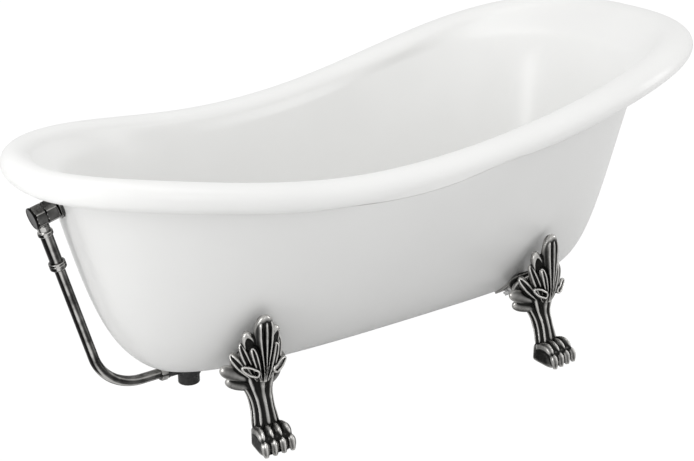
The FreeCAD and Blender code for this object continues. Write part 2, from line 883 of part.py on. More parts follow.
class Foot:
    """One near-side foot in its own frame: casting, bolt, washer, plate and the shell's hole."""

    def __init__(self, station, reach, turn, bolt_y):
        self.place = FreeCAD.Placement(Vector(station, -reach, 0), FreeCAD.Rotation(UP, turn))
        wall = near_skin.copy()
        wall.Placement = self.place.inverse()
        pad = pad_shell.copy()
        pad.Placement = self.place.inverse()
        plate = plate_shell.copy()
        plate.Placement = self.place.inverse()
        point, normal = wall_below(self.place, bolt_y)
        self.point = point
        self.normal = normal
        corner = Vector(-PAD_WIDTH / 2, 115, 80)
        strip = Part.makeBox(PAD_WIDTH, bolt_y - 95, 150, corner)
        bored = rod(SHANK + SEAT, point + normal * 60, normal * -1, 110)
        seat_at = number("FootPad") - SPOT_DEPTH
        spot = rod(WASHER_RADIUS + 2, point + normal * seat_at, normal, 60)
        self.casting = raw_foot.fuse(pad.common(strip)).cut(wall).cut(bored).cut(spot)
        self.washer = rod(WASHER_RADIUS, point + normal * seat_at, normal, WASHER).cut(bored)
        under_head = seat_at + WASHER
        shank = rod(SHANK, point + normal * under_head, normal * -1, under_head + BOLT_REACH)
        corners = []
        for index in range(6):
            angle = math.radians(60 * index)
            corners.append(Vector(math.cos(angle), math.sin(angle), 0) * BOLT_HEAD_CORNER)
        head = flat_face(corners).extrude(UP * BOLT_HEAD)
        tilt = FreeCAD.Rotation(UP, normal)
        head.Placement = FreeCAD.Placement(point + normal * under_head, tilt)
        self.bolt = shank.fuse(head)
        half = PLATE_SIDE / 2
        block = Part.makeBox(PLATE_SIDE, PLATE_SIDE, 40, Vector(-half, -half, -40))
        block.Placement = FreeCAD.Placement(point, tilt)
        thread = rod(SHANK + 0.05, point, normal * -1, 60)
        self.plate = block.common(plate).cut(thread)
        self.hole = bored

    def of(self, shape, far):
        """A shape of this foot, in the foot's own frame or mirrored for the far side, placed."""
        shape = shape.copy()
        place = self.place
        if far:
            shape = shape.mirror(Vector(0, 0, 0), Vector(1, 0, 0))
            base = Vector(place.Base.x, -place.Base.y, 0)
            turn = 180 - place.Rotation.getYawPitchRoll()[0]
            place = FreeCAD.Placement(base, FreeCAD.Rotation(UP, turn))
        return shape, place

    def world(self, shape, far):
        """The same in the tub's frame."""
        shape, place = self.of(shape, far)
        shape.Placement = place.multiply(shape.Placement)
        return shape


def foot_at(end, side):
    """The foot of one end; side is -1 towards the drain end and 1 towards the head end."""
    station = side * number(f"{end}FootStation")
    reach = number(f"{end}FootReach")
    return Foot(station, reach, number(f"{end}FootTurn"), number(f"{end}BoltInset"))


drain_foot = foot_at("Drain", -1)
head_foot = foot_at("Head", 1)
FEET = (
    ("drain_near", drain_foot, False),
    ("drain_far", drain_foot, True),
    ("head_near", head_foot, False),
    ("head_far", head_foot, True),
)
for where, foot, far in FEET:
    shape, place = foot.of(foot.casting, far)
    new_feature(f"foot_{where}", shape, place)

new_feature("foot_bolts", Part.makeCompound([foot.world(foot.bolt, far) for _, foot, far in FEET]))
washers = [foot.world(foot.washer, far) for _, foot, far in FEET]
new_feature("foot_washers", Part.makeCompound(washers))
plates = [foot.world(foot.plate, far) for _, foot, far in FEET]
new_feature("foot_plates", Part.makeCompound(plates))

skirt = outer_shell().cut(waste_bore).cut(overflow_bore)
for _, foot, far in FEET:
    skirt = skirt.cut(foot.world(foot.hole, far))
new_feature("outer_skirt", skirt)

for where, foot, far in FEET:
    glide = new_body(f"glide_{where}")
    pad_radius = size("GlidePadRadius")
    stud_radius = size("GlideStudRadius")
    revolve(
        glide,
        "GlidePadAndStud",
        [
            (0, 0),
            (pad_radius - 2, 0),
            (pad_radius, 2),
            (pad_radius, GLIDE_PAD),
            (stud_radius, GLIDE_PAD),
            (stud_radius, GLIDE_PAD + STUD_LENGTH),
            (0, GLIDE_PAD + STUD_LENGTH),
        ],
    )
    _, place = foot.of(foot.bolt, far)
    base = place.multVec(Vector(0, GLIDE_Y, FLOOR_GAP))
    glide.Placement = FreeCAD.Placement(base, FreeCAD.Rotation())

# --- waste: flange, gasket, body and the lifting stopper --------------------------------------

TUBE = size("WasteTubeRadius")
SEAL = 1.5
GASKET = 3.0
FLANGE_RADIUS = 33.0
BODY_RADIUS = 27.0
SPIGOT_END = 57.0
SHOULDER_HEIGHT = 79.0
FLANGE_Z = FLOOR_TOP + SEAL
WASTE_BASE = Vector(-number("WasteStation"), 0, 0)


def sketch_at(body, name, height):
    """A sketch level with the floor, a height up the body's own Z axis."""
    sketch = sketch_on(body, name, "XY_Plane")
    height = Size.of(height)
    sketch.AttachmentOffset = FreeCAD.Placement(Vector(0, 0, height.value), FreeCAD.Rotation())
    if "Dims" in height.text:
        sketch.setExpression("AttachmentOffset.Base.z", height.text)
    return sketch


def ring_body(label, outline_points, place):
    """A body turned from one outline."""
    body = new_body(label)
    revolve(body, "Turned", outline_points)
    body.Placement = place
    return body


flange = new_body("waste_flange")
revolve(
    flange,
    "FlangeAndTube",
    [
        (TUBE - 2.5, -52),
        (TUBE, -52),
        (TUBE, 0),
        (FLANGE_RADIUS, 0),
        (FLANGE_RADIUS, 1.2),
        (29, 3.4),
        (24.5, 3.4),
        (TUBE - 2.5, -2),
    ],
)
hub = sketch_at(flange, "HubOutline", -22)
circle(hub, 8.5)
extrude(flange, "Hub", hub, 14.0)
for index, (half_x, half_y) in enumerate(((20.5, 2.0), (2.0, 20.5))):
    spoke = sketch_at(flange, f"Spoke{index}Outline", -20)
    outline(
        spoke, [(-half_x, -half_y), (half_x, -half_y), (half_x, half_y), (-half_x, half_y)]
    )
    extrude(flange, f"Spoke{index}", spoke, 7.0)
hub_bore = sketch_at(flange, "HubBoreOutline", -30)
circle(hub_bore, size("StemRadius") + size("RunningGap"))
extrude(flange, "HubBore", hub_bore, 40.0, "PartDesign::Pocket", Reversed=True)
flange.Placement.Base = WASTE_BASE + Vector(0, 0, FLANGE_Z)

CLEAR_TUBE = TUBE + size("SeatGap")
seal_edge = FLANGE_RADIUS - 1
seal_corners = [(CLEAR_TUBE, 0), (seal_edge, 0), (seal_edge, SEAL), (CLEAR_TUBE, SEAL)]
seal_place = FreeCAD.Placement(WASTE_BASE + Vector(0, 0, FLOOR_TOP), FreeCAD.Rotation())
ring_body("waste_flange_seal", seal_corners, seal_place)

stopper = new_body("drain_stopper")
revolve(
    stopper,
    "CapAndStem",
    [
        (0, -34),
        (size("StemRadius"), -34),
        (size("StemRadius"), 3.5),
        (22, 3.5),
        (27.5, 4.0),
        (27.5, 6.0),
        (24, 8.2),
        (7, 9.4),
        (7, 17),
        (5.5, 19),
        (0, 19),
    ],
)
stopper.Placement.Base = WASTE_BASE + Vector(0, 0, FLANGE_Z)

GASKET_RADIUS = 35.0
gasket_corners = [(CLEAR_TUBE, -GASKET), (GASKET_RADIUS, -GASKET), (GASKET_RADIUS, 0), (CLEAR_TUBE, 0)]
gasket_place = FreeCAD.Placement(WASTE_BASE + Vector(0, 0, BOTTOM), FreeCAD.Rotation())
ring_body("waste_gasket", gasket_corners, gasket_place)

PIPE = size("PipeRadius")
INLET = number("InletHeight")
waste = new_body("waste_body")
revolve(
    waste,
    "WasteShell",
    [
        (CLEAR_TUBE, BOTTOM - GASKET),
        (GASKET_RADIUS, BOTTOM - GASKET),
        (GASKET_RADIUS, BOTTOM - GASKET - 5),
        (BODY_RADIUS, BOTTOM - GASKET - 8),
        (BODY_RADIUS, SHOULDER_HEIGHT),
        (size("SpigotRadius"), SHOULDER_HEIGHT - 2),
        (size("SpigotRadius"), SPIGOT_END),
        (size("SpigotRadius") - 3, SPIGOT_END),
        (size("SpigotRadius") - 3, SHOULDER_HEIGHT + 5),
        (CLEAR_TUBE, SHOULDER_HEIGHT + 7),
    ],
)
boss = sketch_on(waste, "InletBossOutline", "YZ_Plane")
circle(boss, 14.3, 0, INLET)
boss.AttachmentOffset = FreeCAD.Placement(Vector(0, 0, -24), FreeCAD.Rotation())
extrude(waste, "InletBoss", boss, 31.0, Reversed=True)
inlet = sketch_on(waste, "InletBoreOutline", "YZ_Plane")
circle(inlet, PIPE + 0.3, 0, INLET)
inlet.AttachmentOffset = FreeCAD.Placement(Vector(0, 0, -23), FreeCAD.Rotation())
extrude(waste, "InletBore", inlet, 34.0, "PartDesign::Pocket")
waste.Placement.Base = WASTE_BASE

# --- overflow: grille, head, cap and the pipe down to the waste --------------------------------

overflow_place = axes(overflow_point, OUTWARD, DOWN)
THROUGH = OVERFLOW_GAP + 5
NECK = size("NeckOffset")
BARREL = size("BarrelRadius")
LENGTH = size("BarrelLength")

head = new_body("overflow_head")
revolve(
    head,
    "HeadOutside",
    [
        (0, -THROUGH),
        (14.5, -THROUGH),
        (14.5, 3.8),
        (24, 3.8),
        (24, 7),
        (17.5, 7),
        (17.5, 34),
        (BARREL, 34),
        (BARREL, LENGTH - 4.5),
        (0, LENGTH - 4.5),
    ],
)
facets = sketch_at(head, "FacetsOutline", 12)
hexagon(facets, 37.0)
extrude(head, "Facets", facets, 22.0)
neck = sketch_on(head, "NeckOutline", "YZ_Plane")
circle(neck, 11.0, 0, NECK)
extrude(head, "Neck", neck, 21.0)
thread = sketch_on(head, "NeckThreadOutline", "YZ_Plane")
circle(thread, 9.4, 0, NECK)
extrude(head, "NeckThread", thread, 31.0)
cavity = sketch_on(head, "CavityOutline", "XZ_Plane")
outline(
    cavity,
    [
        (0, -THROUGH - 1),
        (11.5, -THROUGH - 1),
        (11.5, 12),
        (15.5, 16),
        (15.5, LENGTH),
        (0, LENGTH),
    ],
)
hollow = head.newObject("PartDesign::Groove", "Cavity")
hollow.Profile = cavity
hollow.ReferenceAxis = (cavity, ["V_Axis"])
hollow.Angle = 360.0
neck_bore = sketch_on(head, "NeckBoreOutline", "YZ_Plane")
circle(neck_bore, 7.5, 0, NECK)
extrude(head, "NeckBore", neck_bore, 40.0, "PartDesign::Pocket", Reversed=True)
bridge = sketch_at(head, "BridgeOutline", -THROUGH)
outline(bridge, [(-12.5, -4), (12.5, -4), (12.5, 4), (-12.5, 4)])
extrude(head, "Bridge", bridge, 5.0)
bridge_bore = sketch_at(head, "BridgeBoreOutline", -THROUGH - 1)
circle(bridge_bore, 2.55)
extrude(head, "BridgeBore", bridge_bore, 8.0, "PartDesign::Pocket", Reversed=True)
head.Placement = overflow_place

cap = ring_body(
    "overflow_cap",
    [
        (0, LENGTH - 10),
        (15.2, LENGTH - 10),
        (15.2, LENGTH - 4.5),
        (20.5, LENGTH - 4.5),
        (20.5, LENGTH - 0.8),
        (19.7, LENGTH),
        (0, LENGTH),
    ],
    overflow_place,
)

outer_seal = rod(24, overflow_point - OUTWARD * 12, OUTWARD, 15.8)
outer_seal = outer_seal.cut(near_skin)
seal_bore = rod(14.8, overflow_point - OUTWARD * 60, OUTWARD, 120)
new_feature("overflow_seal", outer_seal.cut(seal_bore))

GRILLE_TOP = -OVERFLOW_GAP - 7
SLOT_CORNERS = ((8.5, -15), (20.0, -21), (20.0, 21), (8.5, 15))
inner_point = overflow_point - OUTWARD * OVERFLOW_GAP
water = filled(wall_points, -SEAT)
inner_seal = rod(26, inner_point - OUTWARD * 7, OUTWARD, 22).common(water)
new_feature("grille_seal", inner_seal.cut(seal_bore))

grille = new_body("overflow_grille")
revolve(
    grille,
    "GrillePlate",
    [
        (0, GRILLE_TOP - 5),
        (24, GRILLE_TOP - 5),
        (31, GRILLE_TOP - 2.5),
        (31, GRILLE_TOP - 0.5),
        (28, GRILLE_TOP - 0.5),
        (28, GRILLE_TOP),
        (0, GRILLE_TOP),
    ],
)
for index in range(6):
    slot = sketch_at(grille, f"Slot{index}Outline", GRILLE_TOP - 8)
    corners = []
    for radius, degrees in SLOT_CORNERS:
        angle = math.radians(60 * index + degrees)
        corners.append((radius * math.cos(angle), radius * math.sin(angle)))
    outline(slot, corners)
    extrude(grille, f"Slot{index}", slot, 12.0, "PartDesign::Pocket", Reversed=True)
screw_bore = sketch_at(grille, "ScrewBoreOutline", GRILLE_TOP - 8)
circle(screw_bore, 2.8)
extrude(grille, "ScrewBore", screw_bore, 12.0, "PartDesign::Pocket", Reversed=True)
grille.Placement = overflow_place

screw_head = GRILLE_TOP - 5
ring_body(
    "overflow_screw",
    [
        (0, screw_head - 2.6),
        (3, screw_head - 2.6),
        (4.8, screw_head - 1),
        (4.8, screw_head),
        (2.5, screw_head),
        (2.5, screw_head + 18),
        (0, screw_head + 18),
    ],
    overflow_place,
)

neck_point = overflow_point + OUTWARD * number("NeckOffset")
down_place = axes(neck_point, DOWN, OUTWARD)
SLEEVE = size("SleeveLength")
SLEEVE_START = 40.0
SLEEVE_RADIUS = PIPE + size("PipeWall") + 0.3

nut = new_body("overflow_neck_nut")
nut_outline = sketch_at(nut, "NutOutline", 21)
hexagon(nut_outline, 24.0)
circle(nut_outline, 9.7)
extrude(nut, "Nut", nut_outline, 12.0)
nut.Placement = down_place

ring_body(
    "overflow_collar",
    [
        (SLEEVE_RADIUS + 0.3, 36),
        (15.2, 36),
        (15.8, 38),
        (15.8, 42),
        (15.2, 44),
        (SLEEVE_RADIUS + 0.3, 44),
    ],
    down_place,
)
ring_body(
    "overflow_sleeve",
    [
        (7.5, 33),
        (SLEEVE_RADIUS, 33),
        (SLEEVE_RADIUS, SLEEVE + SLEEVE_START),
        (PIPE + 0.3, SLEEVE + SLEEVE_START),
        (PIPE + 0.3, 40),
        (7.5, 36),
    ],
    down_place,
)
COUPLING = SLEEVE + SLEEVE_START
coupling = ring_body(
    "overflow_coupling",
    [
        (SLEEVE_RADIUS + 0.3, COUPLING - 5),
        (16.6, COUPLING - 5),
        (17.5, COUPLING - 3.5),
        (17.5, COUPLING + 9),
        (15, COUPLING + 12),
        (PIPE + 0.3, COUPLING + 12),
        (PIPE + 0.3, COUPLING + 0.3),
        (SLEEVE_RADIUS + 0.3, COUPLING + 0.3),
    ],
    down_place,
)
lug = sketch_at(coupling, "LugOutline", COUPLING - 3)
outline(lug, [(-3.5, 15), (3.5, 15), (3.5, 23), (-3.5, 23)])
extrude(coupling, "Lug", lug, 11.0)

# The pipe's centre line: straight down from the neck, round the large bend, level to the waste.
BEND = number("PipeBendRadius")
bend_turn = math.pi / 2 - math.asin(DOWN.x)
pipe_start = neck_point + DOWN * (number("SleeveLength") + SLEEVE_START - 22)
bend_down = BEND * math.tan(bend_turn / 2)
corner = neck_point + DOWN * ((neck_point.z - INLET) / -DOWN.z)
bend_start = corner - DOWN * bend_down
bend_end = corner + Vector(bend_down, 0, 0)
bend_centre = bend_end + Vector(0, 0, BEND)
half_way = bend_centre - (bend_centre - bend_start + Vector(0, 0, BEND)).normalize() * BEND
pipe_end = Vector(-number("WasteStation") - 38, 0, INLET)

pipe = new_body("overflow_pipe")
path = sketch_on(pipe, "PipePath", "XZ_Plane")
flat = [Vector(point.x, point.z, 0) for point in (pipe_start, bend_start, half_way, bend_end, pipe_end)]
path.addGeometry(Part.LineSegment(flat[0], flat[1]), False)
path.addGeometry(Part.Arc(flat[1], flat[2], flat[3]), False)
path.addGeometry(Part.LineSegment(flat[3], flat[4]), False)
ring = pipe.newObject("Sketcher::SketchObject", "PipeSection")
ring.AttachmentSupport = [(path, "Edge1")]
ring.MapMode = "NormalToEdge"
circle(ring, PIPE)
circle(ring, PIPE - size("PipeWall"))
tube = pipe.newObject("PartDesign::AdditivePipe", "Tube")
tube.Profile = ring
tube.Spine = (path, ["Edge1", "Edge2", "Edge3"])
tube.Mode = "Frenet"

pipe_nut = new_body("overflow_pipe_nut")
inlet_outline = sketch_at(pipe_nut, "InletNutOutline", 0)
hexagon(inlet_outline, 31.0)
circle(inlet_outline, PIPE + 0.3)
extrude(pipe_nut, "InletNut", inlet_outline, 17.0)
nut_base = Vector(-number("WasteStation") - 55, 0, INLET)
pipe_nut.Placement = axes(nut_base, Vector(-1, 0, 0), Vector(0, 0, 1))

document.recompute()
for item in document.Objects:
    if "Invalid" in item.State or "Error" in item.State:
        raise RuntimeError(f"{item.Name} failed: {item.State}")
os.makedirs("parts", exist_ok=True)
for subpart in subparts:
    subpart.Shape.exportStep(f"parts/{subpart.Label}.step")
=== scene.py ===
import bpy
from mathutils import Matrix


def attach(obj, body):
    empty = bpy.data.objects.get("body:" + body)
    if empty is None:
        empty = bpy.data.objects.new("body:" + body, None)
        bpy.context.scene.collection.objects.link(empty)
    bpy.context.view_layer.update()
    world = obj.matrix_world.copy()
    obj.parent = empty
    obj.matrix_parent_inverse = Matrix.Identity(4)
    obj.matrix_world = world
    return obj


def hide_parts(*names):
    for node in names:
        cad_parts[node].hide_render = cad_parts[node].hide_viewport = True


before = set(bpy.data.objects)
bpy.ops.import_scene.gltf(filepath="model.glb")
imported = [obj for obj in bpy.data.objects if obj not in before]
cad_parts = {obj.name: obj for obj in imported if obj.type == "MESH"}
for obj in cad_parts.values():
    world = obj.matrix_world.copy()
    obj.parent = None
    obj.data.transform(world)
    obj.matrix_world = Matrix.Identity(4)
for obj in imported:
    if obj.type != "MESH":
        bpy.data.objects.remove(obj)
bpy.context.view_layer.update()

import math

import bpy
import numpy as np
from bpy.props import FloatProperty, FloatVectorProperty, IntProperty, PointerProperty
from mathutils import Vector

bl_info = {
    "name": "Clawfoot slipper bathtub",
    "version": (1, 0, 0),
    "blender": (4, 5, 0),
    "location": "3D View > Sidebar > Bathtub",
    "description": "Builds a slipper bathtub on claw feet with its exposed overflow pipe",
    "category": "Object",
}

MM = 0.001


# --- sizes and colours ------------------------------------------------------------------------


def length(default, text, name):
    """A size in metres."""
    return FloatProperty(name=name, description=text, default=default, unit="LENGTH", precision=4)


def colour(default, text, name):
    """A colour in linear light."""
    return FloatVectorProperty(
        name=name, description=text, default=default, subtype="COLOR", min=0, max=1, size=3
    )


class TubSizes(bpy.types.PropertyGroup):
    """Sizes of the two shells."""

    overall: length(1.7, "Length over the rolled rim", "Length")
    half_width: length(0.3667, "Half width of the rim at mid-length", "Half width")
    drain_rim: length(0.6321, "Height of the rim at the drain end", "Drain rim")
    low_rim: length(0.5715, "Height of the rim at its lowest", "Lowest rim")
    head_rim: length(0.7325, "Height of the rim at the head end", "Head rim")
    roll_width: length(0.038, "Half the width of the rim's roll", "Roll half width")
    roll_height: length(0.0299, "Half the height of the rim's roll", "Roll half height")
    bottom: length(0.1146, "Height of the tub's underside", "Underside")
    basin_wall: length(0.007, "Thickness of the inner shell", "Basin wall")
    skirt_wall: length(0.006, "Thickness of the outer shell", "Skirt wall")
    rings: IntProperty(name="Steps round", description="Points round each shell", default=420, min=60)
    white: colour((0.828, 0.828, 0.818), "Colour of the acrylic", "Acrylic")


class FootSizes(bpy.types.PropertyGroup):
    """Sizes of the four cast feet."""

    paw_width: length(0.0733, "Width over the toes", "Paw width")
    crest: length(0.2974, "Height of the crest's tip", "Crest height")
    voxel: length(0.0011, "Finest detail of the casting", "Detail")
    silver: colour((0.62, 0.61, 0.59), "Rubbed metal on the raised parts", "Rubbed metal")
    # The dark colour is patina in the recesses and also painted shade in the broad hollows.
    dark: colour((0.018, 0.018, 0.017), "Patina in the recesses", "Patina")


class PlumbingSizes(bpy.types.PropertyGroup):
    """Sizes of the overflow pipe and the waste."""

    pipe: length(0.0112, "Radius of the overflow pipe", "Pipe radius")
    bend: length(0.110, "Radius of the large bend's centre line", "Bend radius")
    inlet: length(0.097, "Height of the pipe's level run", "Inlet height")
    station: length(0.490, "Waste from the middle of the tub", "Waste station")
    # Middle tone of the pipe's plating; the painted reflection darkens it to near black or lightens it.
    metal: colour((0.36, 0.355, 0.345), "Aged metal of the pipe", "Pipe metal")
    chrome: colour((0.78, 0.78, 0.79), "Polished metal inside the tub", "Polished metal")


class StageSizes(bpy.types.PropertyGroup):
    """Floor, lamps and camera."""

    floor: colour((0.8, 0.8, 0.8), "Colour of the floor", "Floor")
    lamp: FloatProperty(name="Lamps", description="Strength of the lamps", default=1.0, min=0)
    sky: FloatProperty(name="Sky", description="Strength of the even light", default=0.77, min=0)


# --- grids and meshes -------------------------------------------------------------------------


def powered(value, power):
    """Power of the size of a value that keeps its sign."""
    return np.sign(value) * np.abs(value) ** power


def smooth(value):
    """Eased step: 3 v^2 - 2 v^3 between 0 and 1."""
    value = np.clip(value, 0, 1)
    return value * value * (3 - 2 * value)


def unit(vectors):
    """Vectors divided by their lengths."""
    size = np.linalg.norm(vectors, axis=-1, keepdims=True)
    return vectors / np.maximum(size, 1e-12)


def bezier(points, shares):
    """Rows of points along cubic Bezier curves: b0 (1-s)^3 + 3 b1 (1-s)^2 s + 3 b2 (1-s) s^2 + b3 s^3."""
    s = np.asarray(shares)[:, None, None]
    a, b, c, d = points
    return a * (1 - s) ** 3 + 3 * b * (1 - s) ** 2 * s + 3 * c * (1 - s) * s**2 + d * s**3


def table(value, places, sizes):
    """Cubic Hermite curve through a short table, with slopes taken from its neighbours."""
    places = np.asarray(places, float)
    sizes = np.asarray(sizes, float)
    slopes = np.gradient(sizes, places)
    index = np.clip(np.searchsorted(places, value) - 1, 0, len(places) - 2)
    step = places[index + 1] - places[index]
    t = np.clip((value - places[index]) / step, 0, 1)
    h = (2 * t**3 - 3 * t**2 + 1, t**3 - 2 * t**2 + t, -2 * t**3 + 3 * t**2, t**3 - t**2)
    start = h[0] * sizes[index] + h[1] * step * slopes[index]
    return start + h[2] * sizes[index + 1] + h[3] * step * slopes[index + 1]


def turned_over(faces):
    """Faces with their corners the other way round; a triangle keeps its repeated corner last."""
    return faces[:, [1, 0, 3, 2]]


class Surface:
    """Points and faces of one closed surface, in millimetres."""

    def __init__(self, points, faces):
        self.points = np.asarray(points, float)
        self.faces = np.asarray(faces, int)
        if self.volume() < 0:
            self.faces = turned_over(self.faces)

    def volume(self):
        """Sum of the signed tetrahedra from the origin to the two halves of each face."""
        p = self.points[self.faces]
        first = np.einsum("ij,ij->i", p[:, 0], np.cross(p[:, 1], p[:, 2]))
        second = np.einsum("ij,ij->i", p[:, 0], np.cross(p[:, 2], p[:, 3]))
        return (first.sum() + second.sum()) / 6

    def moved(self, turn, shift):
        """The surface turned by a matrix, then shifted."""
        return Surface(self.points @ np.asarray(turn).T + np.asarray(shift), self.faces)


def capped(grid):
    """Closed surface from rows of points round an axis, with a pole at the middle of each end row."""
    rows, count = grid.shape[:2]
    points = np.concatenate([grid.reshape(-1, 3), grid[0].mean(0)[None], grid[-1].mean(0)[None]])
    row, column = np.meshgrid(np.arange(rows - 1), np.arange(count), indexing="ij")
    after = (column + 1) % count
    body = np.stack(
        [row * count + column, row * count + after, (row + 1) * count + after, (row + 1) * count + column],
        axis=-1,
    ).reshape(-1, 4)
    ring = np.arange(count)
    following = (ring + 1) % count
    low = np.full(count, rows * count)
    high = low + 1
    last = (rows - 1) * count
    bottom = np.stack([following, ring, low, low], axis=-1)
    top = np.stack([last + ring, last + following, high, high], axis=-1)
    return Surface(points, np.concatenate([body, bottom, top]))


def looped(grid):
    """Closed surface from rows of points that come back to the first row, such as a hollow ring."""
    rows, count = grid.shape[:2]
    row, column = np.meshgrid(np.arange(rows), np.arange(count), indexing="ij")
    under = (row + 1) % rows
    after = (column + 1) % count
    faces = np.stack(
        [row * count + column, row * count + after, under * count + after, under * count + column], axis=-1
    )
    return Surface(grid.reshape(-1, 3), faces.reshape(-1, 4))


def joined(surfaces):
    """Several closed surfaces as one set of points and faces."""
    shift = np.cumsum([0] + [len(s.points) for s in surfaces[:-1]])
    points = np.concatenate([s.points for s in surfaces])
    faces = np.concatenate([s.faces + offset for s, offset in zip(surfaces, shift)])
    result = Surface.__new__(Surface)
    result.points = points
    result.faces = faces
    return result


def mesh_from(name, surface):
    """Mesh in metres; a face whose last two corners are the same becomes a triangle."""
    faces = surface.faces
    three = faces[:, 2] == faces[:, 3]
    sizes = np.where(three, 3, 4)
    keep = np.ones(faces.shape, bool)
    keep[three, 3] = False
    corners = faces[keep]
    mesh = bpy.data.meshes.new(name)
    mesh.vertices.add(len(surface.points))
    mesh.vertices.foreach_set("co", (surface.points * MM).astype(np.float32).ravel())
    mesh.loops.add(len(corners))
    mesh.loops.foreach_set("vertex_index", corners.astype(np.int32))
    mesh.polygons.add(len(faces))
    starts = np.concatenate([[0], np.cumsum(sizes)[:-1]])
    mesh.polygons.foreach_set("loop_start", starts.astype(np.int32))
    mesh.update(calc_edges=True)
    mesh.validate()
    return mesh


def finish_mesh(mesh, sharp):
    """Smooth shading, with edges sharper than an angle in degrees left sharp."""
    mesh.shade_smooth()
    mesh.set_sharp_from_angle(angle=math.radians(sharp))


def show(name, mesh, material, nodes=(), body="tub", sharp=40):
    """Puts a finished mesh in the scene, on its body, in place of the nodes it stands for."""
    finish_mesh(mesh, sharp)
    piece = bpy.data.objects.new(name, mesh)
    bpy.context.scene.collection.objects.link(piece)
    piece.data.materials.clear()
    piece.data.materials.append(material)
    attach(piece, body)
    if nodes:
        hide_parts(*nodes)
    return piece


def loose(name, surface):
    """A helper object for a modifier, removed again afterwards."""
    helper = bpy.data.objects.new(name, mesh_from(name, surface))
    bpy.context.scene.collection.objects.link(helper)
    return helper


def applied(helper):
    """The mesh of a helper with its modifiers applied; the helper goes."""
    bpy.context.view_layer.update()
    graph = bpy.context.evaluated_depsgraph_get()
    mesh = bpy.data.meshes.new_from_object(helper.evaluated_get(graph))
    discard(helper)
    return mesh


def discard(helper):
    """Removes a helper object and its mesh."""
    old = helper.data
    bpy.data.objects.remove(helper)
    bpy.data.meshes.remove(old)


def bored(name, surface, cutters):
    """A surface with other closed surfaces cut out of it."""
    body = loose(name, surface)
    tools = [loose(f"{name}Cutter{index}", cutter) for index, cutter in enumerate(cutters)]
    for tool in tools:
        cut = body.modifiers.new("Bore", "BOOLEAN")
        cut.operation = "DIFFERENCE"
        cut.solver = "EXACT"
        cut.object = tool
    mesh = applied(body)
    mesh.name = name
    for tool in tools:
        discard(tool)
    return mesh


# --- turned, pressed and bent metal -----------------------------------------------------------


def softened(corners, radius, steps=4, closed=False):
    """Outline with each corner rounded by a quadratic curve that starts a radius before it."""
    corners = [np.asarray(corner, float) for corner in corners]
    count = len(corners)
    result = []
    for index, corner in enumerate(corners):
        if not closed and index in (0, count - 1):
            result.append(corner)
            continue
        before = corners[index - 1] - corner
        after = corners[(index + 1) % count] - corner
        reach = min(radius, 0.45 * np.linalg.norm(before), 0.45 * np.linalg.norm(after))
        start = corner + before / np.linalg.norm(before) * reach
        end = corner + after / np.linalg.norm(after) * reach
        for step in range(steps + 1):
            t = step / steps
            result.append(start * (1 - t) ** 2 + corner * 2 * t * (1 - t) + end * t**2)
    return np.array(result)


def turned(corners, radius=0.5, count=96, closed=False):
    """Surface of revolution: (r cos a, r sin a, z) for each (r, z) of a softened outline."""
    line = softened(corners, radius, closed=closed)
    angle = np.arange(count) * 2 * math.pi / count
    r = line[:, :1]
    grid = np.stack(
        [r * np.cos(angle), r * np.sin(angle), np.broadcast_to(line[:, 1:], (len(line), count))], -1
    )
    return looped(grid) if closed else capped(grid)


SIDES = 6
CORNER_SOFTNESS = 0.6
CORNER_REACH = 1.135


def faceted(across, low, high, bevel=1.6, count=144, start=0.0):
    """Nut: the radius is half / cos(angle from the nearest flat), cut by a cone at both ends."""
    half = across / 2
    angle = np.arange(count) * 2 * math.pi / count
    sector = 2 * math.pi / SIDES
    near = (angle - start + sector / 2) % sector - sector / 2
    flat = half / np.cos(near)
    limit = np.exp(-half * CORNER_REACH / CORNER_SOFTNESS)
    flat = -CORNER_SOFTNESS * np.log(np.exp(-flat / CORNER_SOFTNESS) + limit)
    line = [(0.2, low), (half - 1.2, low), (half - 0.2, low + 0.25)]
    line += [(half * 1.16, low + bevel), (half * 1.16, high - bevel)]
    line += [(half - 0.2, high - 0.25), (half - 1.2, high), (0.2, high)]
    line = softened(line, 0.3, 3)
    r = np.minimum(line[:, :1], flat[None])
    grid = np.stack(
        [r * np.cos(angle), r * np.sin(angle), np.broadcast_to(line[:, 1:], r.shape)], -1
    )
    return capped(grid)


def tube(path, radius, count=64):
    """Round bar along a path: point = path + r (cos a side + sin a up), side square to the path."""
    path = np.asarray(path, float)
    along = unit(np.gradient(path, axis=0))
    side = np.broadcast_to([0.0, 1.0, 0.0], path.shape)
    up = unit(np.cross(along, side))
    angle = np.arange(count) * 2 * math.pi / count
    radius = np.broadcast_to(radius, len(path))[:, None, None]
    ring = np.cos(angle)[None, :, None] * side[:, None] + np.sin(angle)[None, :, None] * up[:, None]
    return capped(path[:, None] + ring * radius)


def box_bar(low, high, edge=0.8):
    """Small block with softened edges, its section carried from one end to the other."""
    low = np.asarray(low, float)
    high = np.asarray(high, float)
    corners = [(low[0], low[1]), (high[0], low[1]), (high[0], high[1]), (low[0], high[1])]
    outline = softened(corners, edge, closed=True)
    middle = (low[:2] + high[:2]) / 2
    rows = []
    for z, share in ((low[2], 0.86), (low[2] + edge, 1.0), (high[2] - edge, 1.0), (high[2], 0.86)):
        ring = middle + (outline - middle) * share
        rows.append(np.column_stack([ring, np.full(len(ring), z)]))
    return capped(np.array(rows))


# --- the tub's shape --------------------------------------------------------------------------


